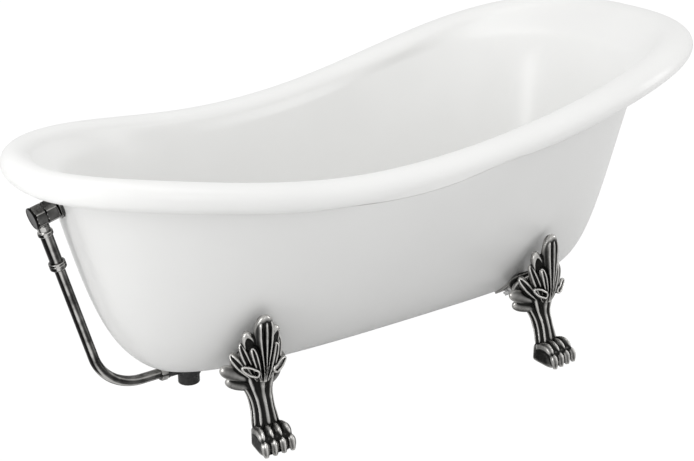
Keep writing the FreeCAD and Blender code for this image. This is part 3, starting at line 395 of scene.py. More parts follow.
class Form:
    """The shells' formulas, in millimetres: X towards the head end, Z up."""

    def __init__(self, tub):
        self.half_length = tub.overall / MM / 2
        self.half_width = tub.half_width / MM
        self.drain_rim = tub.drain_rim / MM
        self.low_rim = tub.low_rim / MM
        self.head_rim = tub.head_rim / MM
        self.roll_width = tub.roll_width / MM
        self.roll_height = tub.roll_height / MM
        self.bottom = tub.bottom / MM
        self.basin_wall = tub.basin_wall / MM
        self.skirt_wall = tub.skirt_wall / MM
        self.floor_top = self.bottom + self.skirt_wall + 12 + self.basin_wall

    @staticmethod
    def superellipse(angle, power):
        """cos and sin of the angle, each to the power 2 / n."""
        return powered(np.cos(angle), 2 / power), powered(np.sin(angle), 2 / power)

    @staticmethod
    def angles(count):
        """Angles that space points about evenly round a superellipse."""
        turn = 2 * math.pi * np.arange(count) / count
        return np.arctan2(powered(np.sin(turn), 1.25), powered(np.cos(turn), 1.25))

    def swell(self, x):
        """1 + 0.2 s + 0.2 s^2, with s the station along the tub from -1 to 1."""
        station = x / self.half_length
        return 1 + 0.2 * station + 0.2 * station**2

    def rim_height(self, x):
        """Slipper curve: low + rise (1 - cos(pi e t)) / (1 - cos(pi e)) on each side of its lowest place."""
        low = -0.24941 * self.half_length
        head = x > low
        share = np.where(head, (x - low) / (self.half_length - low), (low - x) / (self.half_length + low))
        rise = np.where(head, self.head_rim, self.drain_rim) - self.low_rim
        ease = np.where(head, 0.90, 0.97)
        return self.low_rim + rise * (1 - np.cos(np.pi * ease * share)) / (1 - np.cos(np.pi * ease))

    def rim(self, angle):
        """Outermost line of the rim in plan: a superellipse of power 2.36, swollen."""
        along, across = self.superellipse(angle, 2.36)
        x = self.half_length * along
        return np.stack([x, self.half_width * self.swell(x) * across, np.zeros_like(x)], -1)

    @staticmethod
    def plan_normal(line, angle):
        """Unit normal in plan of a closed line, from a small step either way."""
        step = line(angle + 0.002) - line(angle - 0.002)
        return unit(np.stack([step[:, 1], -step[:, 0], np.zeros(len(angle))], -1))

    @staticmethod
    def blended(angle, drain, side, head):
        """End value times cos^2 plus side value times sin^2."""
        along = np.cos(angle)
        return np.where(along < 0, drain, head) * along**2 + side * (1 - along**2)

    def roll_half(self, edge):
        """Half the roll's width, a little more towards the head end."""
        return self.roll_width * (1 + 0.18 * edge[:, 0] / self.half_length)

    def roll(self, angle, turn):
        """Ellipse of the roll: rows at turns (degrees) from 0 outside over 90 on top to 180 inside."""
        edge = self.rim(angle)
        outward = self.plan_normal(self.rim, angle)
        half = self.roll_half(edge)
        middle = edge - outward * half[:, None]
        middle[:, 2] = self.rim_height(edge[:, 0]) - self.roll_height
        turn = np.radians(turn)
        reach = half * np.cos(turn)
        rise = self.roll_height * np.sin(turn)
        return middle + outward * reach[..., None] + np.array([0, 0, 1.0]) * rise[..., None]

    @staticmethod
    def wall(foot, top, reach, rise, lean):
        """Bezier that leaves the foot level and reaches the top with a lean."""
        away = top - foot
        away[:, 2] = 0
        away = unit(away)
        drop = away * lean[:, None] + np.array([0, 0, 1.0])
        return foot, foot + away * reach[:, None], top - drop * rise[:, None], top

    def base_line(self, angle, power, drain, head, half_width, height):
        """Level line round a floor: a superellipse between two ends, wider towards the head end."""
        along, across = self.superellipse(angle, power)
        x = (head - drain) / 2 + (head + drain) / 2 * along
        y = half_width * (1 + 0.13 * x / self.half_length) * across
        return np.stack([x, y, np.full_like(x, height)], -1)

    def skirt_top(self, angle):
        """Top edge of the outer wall, under the rim."""
        along, across = self.superellipse(angle, 2.18)
        drain = self.half_length - 79.3
        head = self.half_length - 128.2
        side = np.sin(angle) ** 8
        x = (head - drain) / 2 + (head + drain) / 2 * along
        y = (self.half_width - 21.7 + 18.5 * side) * self.swell(x) * across
        z = self.rim_height(self.rim(angle)[:, 0]) - 2 * self.roll_height + 10 * side
        return np.stack([x, y, z], -1)

    def skirt_curve(self, angle):
        """Bezier of the outer wall from the underside up to its top edge."""
        foot = self.base_line(angle, 2.86, 533.3, 528.7, 113.9, self.bottom)
        reach = self.blended(angle, 148.7, 79.1, 157.4)
        rise = self.blended(angle, 189.9, 138.3, 241.3)
        lean = self.blended(angle, 0.30, 0.12, 0.37)
        return self.wall(foot, self.skirt_top(angle), reach, rise, lean)

    def shoulder(self, angle):
        """Turn of the roll, in degrees, at which the flare joins it."""
        return self.blended(angle, 150.0, 165.0, 140.0)

    def throat(self, angle):
        """Top of the inner wall: a soft maximum of the insets that clear the skirt and the roll."""
        top = self.skirt_top(angle)
        outward = self.plan_normal(self.skirt_top, angle)
        behind = self.basin_wall + self.skirt_wall + 26.0
        gap = top - self.roll(angle, self.shoulder(angle)[None])[0]
        below = np.einsum("ij,ij->i", gap, outward) + 14.0
        inset = 7 * np.log(np.exp(behind / 7) + np.exp(below / 7))
        point = top - outward * inset[:, None]
        point[:, 2] = self.rim_height(point[:, 0]) - 2 * self.roll_height + 2 + 10 * np.sin(angle) ** 8
        return point

    def matched(self, angle, line, target):
        """Angles at which a line crosses the planes square to the rim through target points, by halving."""
        outward = self.plan_normal(self.rim, angle)
        along = np.stack([-outward[:, 1], outward[:, 0]], -1)
        low, high = angle - 0.5, angle + 0.5
        for _ in range(30):
            middle = (low + high) / 2
            ahead = np.einsum("ij,ij->i", (line(middle) - target)[:, :2], along) > 0
            high = np.where(ahead, middle, high)
            low = np.where(ahead, low, middle)
        return (low + high) / 2

    def basin_curve(self, angle):
        """Bezier of the inner wall from the basin's floor up to the throat."""
        foot = self.base_line(angle, 2.7, 525.3, 488.7, 105.9, self.floor_top)
        reach = self.blended(angle, 100.0, 72.0, 92.0)
        rise = self.blended(angle, 130.0, 140.0, 130.0)
        return self.wall(foot, self.throat(angle), reach, rise, self.blended(angle, 0.50, 0.23, 0.72))

    def flare_curve(self, angle, inner):
        """From the throat out to the shoulder of the roll, tangent to both."""
        wall = self.basin_curve(inner)
        start = wall[3]
        turn = self.shoulder(angle)
        end, before = self.roll(angle, np.stack([turn, turn + 1]))
        height = (end - start)[:, 2:]
        leaving = unit(wall[3] - wall[2])
        arriving = unit(end - before)
        return start, start + leaving * height * 0.4, end - arriving * height * 0.35, end

    def lip_turn(self, angle):
        """Turn at which the roll ends, just outside the skirt's top edge."""
        edge = self.rim(angle)
        half = self.roll_half(edge)
        outward = self.plan_normal(self.rim, angle)
        reach = np.einsum("ij,ij->i", edge - self.skirt_top(angle), outward) - 3.0
        return -np.degrees(np.arccos(np.clip((half - reach) / half, 0, 1)))

    @staticmethod
    def offset(grid, distance):
        """Rows moved along their normals, which are crossed from the two directions of the grid."""
        round_step = np.roll(grid, -1, axis=1) - np.roll(grid, 1, axis=1)
        normal = unit(np.cross(round_step, np.gradient(grid, axis=0)))
        normal[0] = np.array([0, 0, -1.0])
        return grid + normal * distance

    @staticmethod
    def disc(row, count=9):
        """Rows from near the middle out to a level ring."""
        share = (np.arange(1, count + 1) / (count + 1))[:, None, None]
        middle = row.mean(0)
        return middle + (row - middle) * share

    def closed_shell(self, front, back):
        """Floor, front, edge, back and floor again as rows of one closed surface."""
        return capped(
            np.concatenate([self.disc(front[0]), front, back[::-1], self.disc(back[0])[::-1]])
        )

    def basin(self, count):
        """Inner shell: wall, flare, roll and lip in front, the same rows moved by the wall behind."""
        angle = self.angles(count)
        shoulder = self.roll(angle, self.shoulder(angle)[None])[0]
        inner = self.matched(angle, self.throat, shoulder)
        wall = bezier(self.basin_curve(inner), np.linspace(0, 1, 70))
        flare = bezier(self.flare_curve(angle, inner), np.linspace(0, 1, 14)[1:])
        share = np.linspace(0, 1, 44)[1:, None]
        start = self.shoulder(angle)
        roll = self.roll(angle, start + (self.lip_turn(angle) - start) * share)
        top = self.skirt_top(angle)
        lip = top - self.plan_normal(self.skirt_top, angle) * self.skirt_wall
        front = np.concatenate([wall, flare, roll, top[None], lip[None]])
        return self.closed_shell(front, self.offset(front, self.basin_wall))

    def skirt_rows(self, count, rows=70):
        """Rows of points on the outer wall, from the underside up."""
        return bezier(self.skirt_curve(self.angles(count)), np.linspace(0, 1, rows))

    def skirt(self, count):
        """Outer shell: the outer wall in front, the same rows moved inwards by the wall behind."""
        front = self.skirt_rows(count)
        front[-1, :, 2] -= 0.6
        back = self.offset(front, -self.skirt_wall)
        inward = self.plan_normal(self.skirt_top, self.angles(count)) * self.skirt_wall
        back[0, :, 2] = front[0, :, 2] + self.skirt_wall
        back[-1] = front[-1] - inward
        return self.closed_shell(front, back)

    def side_table(self):
        """Half width of the outer wall on a grid of stations and heights."""
        rows = self.skirt_rows(720, 240)
        heights = np.linspace(self.bottom + 0.4, 420, 200)
        stations = np.linspace(-600, 560, 233)
        near = rows[:, 361:719]
        x = np.stack([np.interp(heights, line[:, 2], line[:, 0]) for line in near.swapaxes(0, 1)], 1)
        y = np.stack([np.interp(heights, line[:, 2], -line[:, 1]) for line in near.swapaxes(0, 1)], 1)
        reach = np.stack([np.interp(stations, row_x, row_y) for row_x, row_y in zip(x, y)])
        return heights, stations, reach

    def side_reach(self, x, z):
        """Half width of the outer wall at stations and heights, read from the table."""
        if not hasattr(self, "_side"):
            self._side = self.side_table()
        heights, stations, reach = self._side
        row = np.clip((z - heights[0]) / (heights[1] - heights[0]), 0, len(heights) - 1.001)
        column = np.clip((x - stations[0]) / (stations[1] - stations[0]), 0, len(stations) - 1.001)
        i = row.astype(int)
        j = column.astype(int)
        a = row - i
        b = column - j
        low = reach[i, j] * (1 - b) + reach[i, j + 1] * b
        high = reach[i + 1, j] * (1 - b) + reach[i + 1, j + 1] * b
        return np.where(z < heights[0], -1e3, low * (1 - a) + high * a)

    def overflow(self):
        """Where the overflow leaves the end wall, with the wall's outward and downward directions."""
        line = bezier(self.skirt_curve(np.array([np.pi])), np.linspace(0, 1, 2001))[:, 0]
        index = int(np.argmin(np.abs(line[:, 2] - 527.0)))
        tangent = unit(line[index + 20] - line[index - 20])
        return line[index], np.array([-tangent[2], 0, tangent[0]]), -tangent


# --- finishes ---------------------------------------------------------------------------------


class Value:
    """One shader value, so that arithmetic on it reads as Python and adds its Math nodes."""

    def __init__(self, finish, socket):
        self.finish = finish
        self.socket = socket

    def math(self, operation, first, second):
        node = self.finish.node("ShaderNodeMath", {"operation": operation}, {0: first, 1: second})
        return Value(self.finish, node.outputs[0])

    def __add__(self, other):
        return self.math("ADD", self, other)

    def __radd__(self, other):
        return self.math("ADD", other, self)

    def __sub__(self, other):
        return self.math("SUBTRACT", self, other)

    def __rsub__(self, other):
        return self.math("SUBTRACT", other, self)

    def __mul__(self, other):
        return self.math("MULTIPLY", self, other)

    def __rmul__(self, other):
        return self.math("MULTIPLY", other, self)

    def __truediv__(self, other):
        return self.math("DIVIDE", self, other)

    def __rtruediv__(self, other):
        return self.math("DIVIDE", other, self)

    def __pow__(self, other):
        return self.math("POWER", self, other)

    def __rpow__(self, other):
        return self.math("POWER", other, self)

    def between(self, low, high):
        """0 below low, 1 above high, eased between."""
        settings = {"interpolation_type": "SMOOTHSTEP"}
        inputs = {"Value": self, "From Min": low, "From Max": high}
        node = self.finish.node("ShaderNodeMapRange", settings, inputs)
        return Value(self.finish, node.outputs[0])


class Finish:
    """A material under construction."""

    def __init__(self, name):
        self.material = bpy.data.materials.new(name)
        self.material.use_nodes = True
        self.tree = self.material.node_tree
        self.tree.nodes.clear()
        self.output = self.tree.nodes.new("ShaderNodeOutputMaterial")
        self.shader = self.tree.nodes.new("ShaderNodeBsdfPrincipled")
        self.tree.links.new(self.shader.outputs[0], self.output.inputs["Surface"])

    def put(self, socket, value):
        """Links a value to a socket, or writes a plain number or colour into it."""
        if isinstance(value, Value):
            self.tree.links.new(value.socket, socket)
        elif isinstance(value, bpy.types.NodeSocket):
            self.tree.links.new(value, socket)
        elif hasattr(value, "__len__") and len(value) == 3 and len(socket.default_value) == 4:
            socket.default_value = (*value, 1.0)
        else:
            socket.default_value = value

    def node(self, kind, settings=None, inputs=None):
        """A new node with its settings and inputs."""
        node = self.tree.nodes.new(kind)
        for key, value in (settings or {}).items():
            setattr(node, key, value)
        for key, value in (inputs or {}).items():
            self.put(node.inputs[key], value)
        return node

    def value(self, kind, output, settings=None, inputs=None):
        return Value(self, self.node(kind, settings, inputs).outputs[output])

    def place(self, scale=(1, 1, 1)):
        """Object coordinates in metres, stretched by a scale."""
        here = self.node("ShaderNodeTexCoord").outputs["Object"]
        return self.node("ShaderNodeMapping", {}, {"Vector": here, "Scale": scale}).outputs[0]

    def noise(self, scale, detail=2.0, rough=0.5, stretch=(1, 1, 1)):
        inputs = {"Vector": self.place(stretch), "Scale": scale, "Detail": detail, "Roughness": rough}
        return self.value("ShaderNodeTexNoise", 0, {}, inputs)

    def attribute(self, name):
        return self.value("ShaderNodeAttribute", "Fac", {"attribute_name": name})

    def mix(self, factor, first, second):
        settings = {"data_type": "RGBA"}
        node = self.node("ShaderNodeMix", settings, {0: factor, 6: first, 7: second})
        return node.outputs[2]

    def bump(self, height, distance, strength=1.0):
        inputs = {"Height": height, "Distance": distance, "Strength": strength}
        return self.node("ShaderNodeBump", {}, inputs).outputs[0]

    def set(self, **values):
        """Writes the shader's inputs by name and gives the finished material."""
        for key, value in values.items():
            self.put(self.shader.inputs[key.replace("_", " ")], value)
        return self.material


def shade(base, factor):
    """A colour made lighter or darker."""
    return tuple(min(1.0, channel * factor) for channel in base)


def acrylic(name, base):
    """Glossy cast acrylic: a faint cloudiness of tone and a very shallow moulded ripple."""
    f = Finish(name)
    cloud = f.noise(3.0, 3.0)
    ripple = f.noise(9.0, 2.0) * 0.7 + f.noise(60.0, 2.0) * 0.3
    tone = f.mix(cloud.between(0.3, 0.7), shade(base, 0.985), shade(base, 1.01))
    haze = f.noise(22.0, 4.0)
    return f.set(
        Base_Color=tone,
        Roughness=0.27 + haze * 0.07,
        IOR=1.49,
        Normal=f.bump(ripple, 0.0006, 0.35),
    )


def pewter(name, silver, dark):
    """Antique plated casting: patina in the fine recesses, patina with painted shade in the broad hollows,
    bare bright metal on the ridges, fine casting grain.
    """
    f = Finish(name)
    recess = f.attribute("recess")
    broad = f.attribute("hollow")
    grain = f.noise(900.0, 3.0, 0.6)
    blotch = f.noise(55.0, 4.0, 0.6)
    # Dark in the fine recesses as patina, and in the broad hollows partly as patina and partly as painted
    # shade.
    wear_and_shade = (recess * -0.9 + broad * -0.75 + (blotch - 0.5) * 0.4).between(-0.05, 1.35)
    tone = f.mix(wear_and_shade, dark, silver)
    return f.set(
        Base_Color=tone,
        Metallic=1.0,
        Roughness=0.36 - wear_and_shade * 0.14 + blotch * 0.08,
        Normal=f.bump(grain, 0.0002, 0.25),
    )


def satin(name, base, rough):
    """Satin plated metal: fine streaks, small changes of tone and dulled patches."""
    f = Finish(name)
    brushed = f.noise(420.0, 3.0, 0.6)
    patch = f.noise(26.0, 3.0)
    tone = f.mix(patch.between(0.25, 0.75), shade(base, 0.82), shade(base, 1.18))
    return f.set(
        Base_Color=tone,
        Metallic=1.0,
        Roughness=rough + brushed * 0.12 + patch * 0.08,
        Normal=f.bump(brushed, 0.0001, 0.15),
    )


def painted_sheen_plating(name, base):
    """Plating with a painted reflection: bright where the painted highlights lie, nearly black elsewhere,
    broken by random patches, with fine streaks.
    """
    f = Finish(name)
    brushed = f.noise(420.0, 3.0, 0.6, (1, 1, 6))
    patch = f.noise(30.0, 3.0)
    # Painted reflection from the stored painted_sheen, broken up by random patches.
    sheen_and_patches = (f.attribute("painted_sheen") * (patch * 2.6 - 0.3)).between(0.0, 1.0)
    return f.set(
        Base_Color=f.mix(sheen_and_patches, shade(base, 0.025), shade(base, 1.7)),
        Metallic=1.0,
        Roughness=0.2 + brushed * 0.12 + patch * 0.06,
        Normal=f.bump(brushed, 0.0001, 0.15),
    )


def rubber(name):
    """Matt black rubber with a fine grain."""
    f = Finish(name)
    grain = f.noise(700.0, 3.0)
    return f.set(
        Base_Color=f.mix(grain, (0.02, 0.02, 0.02), (0.05, 0.05, 0.05)),
        Roughness=0.6 + grain * 0.2,
        Normal=f.bump(grain, 0.0003, 0.4),
    )


def plywood(name):
    """Pale board with drawn-out year rings."""
    f = Finish(name)
    rings = f.noise(14.0, 5.0, 0.6, (0.15, 1, 1))
    return f.set(
        Base_Color=f.mix(rings.between(0.3, 0.7), (0.48, 0.34, 0.2), (0.62, 0.48, 0.32)),
        Roughness=0.6 + rings * 0.2,
        Normal=f.bump(rings, 0.0004, 0.3),
    )


MADE = {}


def material(key):
    """Each finish is made once, when a piece first asks for it."""
    if key in MADE:
        return MADE[key]
    scene = bpy.context.scene
    tub = scene.tub_sizes
    foot = scene.foot_sizes
    plumbing = scene.plumbing_sizes
    makers = {
        "basin": lambda: acrylic("BasinAcrylic", tub.white),
        # The outer wall is the basin's acrylic painted darker, as painted shade.
        "skirt": lambda: acrylic("SkirtAcrylicPaintedShade", shade(tub.white, 0.885)),
        "pewter": lambda: pewter("AntiquePewter", foot.silver, foot.dark),
        "nickel": lambda: painted_sheen_plating("NickelPaintedSheen", plumbing.metal),
        "dark_metal": lambda: satin("DarkWasteMetal", (0.07, 0.07, 0.07), rough=0.35),
        "steel": lambda: satin("ZincSteel", (0.5, 0.5, 0.5), rough=0.35),
        "chrome": lambda: satin("PolishedChrome", plumbing.chrome, rough=0.06),
        "rubber": lambda: rubber("BlackRubber"),
        "plywood": lambda: plywood("PlyBoard"),
    }
    MADE[key] = makers[key]()
    return MADE[key]


# --- the claw feet ----------------------------------------------------------------------------


class Casting:
    """One foot in its own frame: X along the tub, Y towards it, Z up, in millimetres."""

    def __init__(self, foot):
        self.half = foot.paw_width / MM / 2
        self.crest = foot.crest / MM

    def leg(self):
        """Sections of a superellipse from the heel up to the leaves, with flutes cos(k a) round it."""
        z = np.linspace(14, 224, 150)
        places = (14, 42, 60, 82, 100, 116, 132, 146, 162, 182, 204, 224)
        middle = table(z, places, (56, 66, 71, 80, 88, 97, 106, 116, 125, 116, 94, 84))
        depth = table(z, places, (25, 20, 19, 21, 22, 24, 32, 42, 50, 46, 26, 14))
        width = table(z, places, (28, 28.5, 27, 24.5, 25.5, 29, 36, 41, 40, 31, 20, 9))
        count = 280
        angle = 2 * math.pi * np.arange(count) / count
        across, along = Form.superellipse(angle, 2.2)
        flute = 1.7 * np.abs(np.cos(5 * (angle + math.pi / 2))) ** 2.6 - 0.9
        strength = 2.9 * smooth((z - 30) / 25) * (1 + 0.7 * smooth((z - 100) / 40))
        strength = strength * (1 - 0.75 * smooth((z - 175) / 40))
        swell = 1 + strength[:, None] * flute / (0.5 * (width + depth)[:, None])
        x = width[:, None] * across * swell
        y = middle[:, None] + depth[:, None] * along * swell
        return capped(np.stack([x, y, np.broadcast_to(z[:, None], x.shape)], -1))

    def toe(self, lateral, turn):
        """Tube along the side profile of a toe; its radius swells at both knuckles, then the claw."""
        s = np.linspace(0, 1, 110)
        places = (0, 0.18, 0.34, 0.46, 0.55, 0.64, 0.76, 0.88, 1)
        y = table(s, places, (66, 50, 34, 25, 19.5, 13.5, 9.5, 7.6, 5.6))
        z = table(s, places, (36, 42, 43.5, 38.5, 32, 27.5, 21, 11.5, 2.5))
        wide = table(s, places, (9, 9.2, 9.8, 8.8, 6.6, 8.8, 9.2, 7.6, 4.6))
        deep = table(s, places, (9, 9.4, 9.8, 8.4, 6.0, 8.4, 8.6, 7.2, 4.8))
        path = np.stack([0 * s, y, z], -1)
        along = unit(np.gradient(path, axis=0))
        up = unit(np.cross(np.array([1.0, 0, 0]), along))
        angle = 2 * math.pi * np.arange(64) / 64
        across, out = Form.superellipse(angle, 2.0)
        crest = np.exp(-((across / 0.26) ** 2)) - 0.55 * np.exp(-(((np.abs(across) - 0.62) / 0.2) ** 2))
        rib = 1 + 0.2 * crest * (out < 0) * smooth((s[:, None] - 0.1) / 0.15)
        grid = path[:, None] + up[:, None] * (deep[:, None] * (out * rib))[..., None]
        grid[..., 0] += wide[:, None] * across
        a = math.radians(turn)
        x, y = grid[..., 0].copy(), grid[..., 1] - 83
        grid[..., 0] = x * math.cos(a) - y * math.sin(a) + lateral
        grid[..., 1] = x * math.sin(a) + y * math.cos(a) + 83
        grid[..., 2] = np.maximum(grid[..., 2], 0)
        return capped(grid)

    def heel(self):
        """Block on a superellipse that narrows towards the tub, with a rounded top edge."""
        count = 200
        across, along = Form.superellipse(2 * math.pi * np.arange(count) / count, 5.5)
        turn = np.linspace(0, math.pi / 2, 9)
        inset = np.concatenate([[2.4, 0.5, 0], [0, 0], 10 * (1 - np.cos(turn[1:]))])
        height = np.concatenate([[0, 0.4, 2], [14, 30], 30 + 12 * np.sin(turn[1:])])
        y = 48.5 + (34.5 - inset[:, None]) * along
        narrow = 1 + 0.09 * (48.5 - y) / 34.5
        x = (33.5 - inset[:, None]) * across * narrow
        return capped(np.stack([x, y, np.broadcast_to(height[:, None], x.shape)], -1))

    @staticmethod
    def leaf(root, bend, tip, half_width, thick, face, relief, widest=0.72, base=0.5, point=2.0):
        """Tongue along a quadratic path whose width grows, then closes as an ellipse; relief in front."""
        s = 1 - (1 - np.linspace(0, 1, 90)) ** 1.4
        root, bend, tip = (np.asarray(p, float) for p in (root, bend, tip))
        t = s[:, None]
        path = root * (1 - t) ** 2 + 2 * bend * t * (1 - t) + tip * t**2
        run = unit(np.gradient(path, axis=0))
        broad = unit(np.cross(run, np.asarray(face, float)))
        out = unit(np.cross(broad, run))
        grow = base + (1 - base) * smooth(s / widest)
        close = np.clip(1 - (np.clip(s - widest, 0, 1) / (1 - widest)) ** point, 0, 1) ** 0.5
        wide = half_width * grow * close
        deep = thick / 2 * (0.55 + 0.45 * smooth(s / widest)) * np.maximum(close, 0.02) ** 0.6
        angle = 2 * math.pi * np.arange(96) / 96
        across, front = Form.superellipse(angle, 2.4)
        carve = relief(s[:, None], across[None]) * np.clip(front, 0, 1) ** 0.5 * close[:, None]
        grid = path[:, None] + broad[:, None] * (wide[:, None] * across)[..., None]
        grid = grid + out[:, None] * (deep[:, None] * front + carve)[..., None]
        return capped(grid)

    @staticmethod
    def ribs(count, height, fade=0.84):
        """Relief of rounded ribs side by side, dying out before the tip."""
        def relief(s, v):
            wave = np.cos(math.pi * count * v + math.pi * (count - 1))
            return height * wave * (1 - smooth((s - fade) / 0.12)) * smooth(s / 0.15)
        return relief

    @staticmethod
    def spoon(depth, edge=0.78):
        """Relief with a raised border round a hollow."""
        def relief(s, v):
            past = np.clip((s - 0.66) / 0.25, 0, 1)
            away = np.sqrt(v**2 + (past * edge) ** 2)
            return -depth * (1 - smooth((away - edge + 0.3) / 0.34)) * smooth((s - 0.12) / 0.3)
        return relief

    def scroll(self, side):
        """Raised rim of a teardrop: a circle drawn out to a tail, with a tube carried round it."""
        turn = np.linspace(0, 2 * math.pi, 96, endpoint=False)
        tail = np.clip(np.cos(turn), 0, 1) ** 4
        reach = 7.0 + 21.0 * tail
        pinch = 1 - 0.5 * tail
        x = 24.5 + reach * np.cos(turn) * 0.93 - reach * np.sin(turn) * 0.37 * pinch
        z = self.crest - 125 + reach * np.cos(turn) * 0.50 + reach * np.sin(turn) * 0.93 * pinch
        y = 57.5 + 9.5 * tail
        path = np.stack([side * x, y, z], -1)
        along = unit(np.roll(path, -1, axis=0) - np.roll(path, 1, axis=0))
        out = np.broadcast_to([0.0, -1.0, 0.0], path.shape)
        broad = unit(np.cross(along, out))
        out = unit(np.cross(broad, along))
        angle = 2 * math.pi * np.arange(24) / 24
        thick = (3.0 - 0.9 * tail)[:, None, None]
        across = np.cos(angle)[None, :, None] * broad[:, None]
        ring = across + 1.9 * np.sin(angle)[None, :, None] * out[:, None]
        return looped(path[:, None] + thick * ring)

    def leaves(self):
        """Crest with three ribs and a hood; on each side a spoon, three leaves, two wings and a scroll."""
        top = self.crest - 9
        front = (0, -1, 0)
        crest = self.leaf(
            (0, 66, top - 143), (0, 62, top - 66), (0, 62, top + 1), 21.5, 24, front,
            self.ribs(3, 4.6, 0.86), 0.78, 0.20, 2.4,
        )
        hood = self.leaf(
            (0, 74, top - 62), (0, 66, top - 30), (0, 55, top + 4), 22, 21, (0, -1, 0.2),
            self.ribs(1, 0), 0.4, 0.7, 2.3,
        )
        pieces = [crest, hood]
        for side in (-1, 1):
            def at(x, y, z):
                return (side * x, y, top + z)

            pieces += [
                self.leaf(
                    at(9, 78, -130), at(22, 76, -75), at(35, 78, -32), 14, 22, (side * 0.35, -1, 0),
                    self.spoon(5.0), 0.74, 0.5, 2.2,
                ),
                self.leaf(
                    at(7, 68, -143), at(17, 61, -104), at(27, 66, -62), 9.5, 17, (side * 0.25, -1, 0),
                    self.ribs(2, 2.6, 0.95), 0.76, 0.35, 2.4,
                ),
                self.leaf(
                    at(12, 73, -141), at(30, 70, -104), at(43, 88, -58), 12, 19, (side * 0.6, -1, 0.05),
                    self.ribs(2, 3.0, 0.9), 0.66, 0.4, 1.9,
                ),
                self.leaf(
                    at(15, 82, -143), at(36, 86, -112), at(56, 110, -86), 14, 20, (side * 0.8, -1, 0.1),
                    self.ribs(2, 2.8, 0.9), 0.62, 0.4, 1.8,
                ),
                self.leaf(
                    at(16, 88, -150), at(46, 96, -130), at(75, 122, -122), 15, 15, (side * 0.8, -1, 0.35),
                    self.ribs(1, 1.2, 0.9), 0.7, 0.5, 2.4,
                ),
                self.leaf(
                    at(12, 88, -168), at(38, 96, -160), at(63, 122, -152), 14, 15, (side * 0.7, -1, -0.3),
                    self.ribs(1, 1.2, 0.9), 0.7, 0.5, 2.6,
                ),
                self.scroll(side),
            ]
        return pieces

    def surface(self):
        """Leg, heel, four toes and the leaves, still as separate forms."""
        toes = []
        for index in range(4):
            side = index - 1.5
            toes.append(self.toe(side * self.half * 0.44, side * 3.4))
        return joined([self.leg(), self.heel()] + toes + self.leaves())


def smoothed(points, edges, rounds, share=0.5):
    """Points pulled towards the mean of their neighbours, several times over."""
    count = len(points)
    degree = np.bincount(edges.ravel(), minlength=count).astype(float)[:, None]
    result = points.copy()
    for _ in range(rounds):
        total = np.empty_like(result)
        for axis in range(3):
            first = np.bincount(edges[:, 0], result[edges[:, 1], axis], count)
            second = np.bincount(edges[:, 1], result[edges[:, 0], axis], count)
            total[:, axis] = first + second
        result = result * (1 - share) + total / np.maximum(degree, 1) * share
    return result


# Pocket for the glide in the sole of the paw: its place, and the pad's and stud's radius and height.
GLIDE_Y = 43.16
PAD_RADIUS, PAD_TOP = 15.4, 8.6
STUD_RADIUS, STUD_TOP = 7.6, 39.5
SOLE = 2.0


def cast_foot(foot):
    """One raw casting: its forms melted together, the glide's pocket, and how deep each point lies."""
    helper = loose("FootForms", Casting(foot).surface())
    melt = helper.modifiers.new("Melt", "REMESH")
    melt.mode = "VOXEL"
    melt.voxel_size = foot.voxel
    mesh = applied(helper)
    count = len(mesh.vertices)
    points = np.empty(count * 3, np.float32)
    mesh.vertices.foreach_get("co", points)
    points = points.reshape(-1, 3).astype(float) / MM
    edges = np.empty(len(mesh.edges) * 2, np.int32)
    mesh.edges.foreach_get("vertices", edges)
    edges = edges.reshape(-1, 2)
    normals = np.empty(count * 3, np.float32)
    mesh.vertices.foreach_get("normal", normals)
    normals = normals.reshape(-1, 3).astype(float)
    points = smoothed(points, edges, 2)
    fine = smoothed(points, edges, 8)
    wide = smoothed(fine, edges, 60)
    recess = np.einsum("ij,ij->i", fine - points, normals)
    # Broad hollows: the finish darkens these partly as patina and partly as painted shade.
    hollow = np.einsum("ij,ij->i", wide - points, normals)
    corners = np.empty(len(mesh.loops), np.int32)
    mesh.loops.foreach_get("vertex_index", corners)
    faces = corners.reshape(-1, 4)
    bpy.data.meshes.remove(mesh)
    away = np.hypot(points[:, 0], points[:, 1] - GLIDE_Y)
    sole = points[:, 2] < SOLE
    points[:, 2] = np.where(sole & (away < PAD_RADIUS), PAD_TOP, points[:, 2])
    points[:, 2] = np.where(sole & (away < STUD_RADIUS), STUD_TOP, points[:, 2])
    return points, faces, recess, hollow


def fitted_foot(name, casting, form, station, reach, turn, bolt, lift, back, far):
    """The casting placed at its station, its crest drawn up and back, pressed flat against the outer wall."""
    points, faces, recess, hollow = casting
    points = points.copy()
    high = smooth((points[:, 2] - 170) / 120)
    points[:, 1] += back * high
    points[:, 2] += lift * high
    a = math.radians(turn)
    x = station + math.cos(a) * points[:, 0] - math.sin(a) * points[:, 1]
    y = -reach + math.sin(a) * points[:, 0] + math.cos(a) * points[:, 1]
    z = np.maximum(points[:, 2], 0)
    wall = form.side_reach(x, z) + 0.3
    y = np.minimum(y, -wall * (wall > 0) + 1e6 * (wall <= 0))
    body = Surface(np.stack([x, y, z], -1), faces)
    pad = pad_strip(form, station, reach, a, bolt)
    whole = joined([body, pad])
    if far:
        whole.points[:, 1] *= -1
        whole.faces = turned_over(whole.faces)
    mesh = mesh_from(name, whole)
    extra = len(whole.points) - len(points)
    for label, values in (("recess", recess), ("hollow", hollow)):
        store = mesh.attributes.new(label, "FLOAT", "POINT")
        store.data.foreach_set("value", np.concatenate([values, np.full(extra, -0.6)]).astype(np.float32))
    return mesh


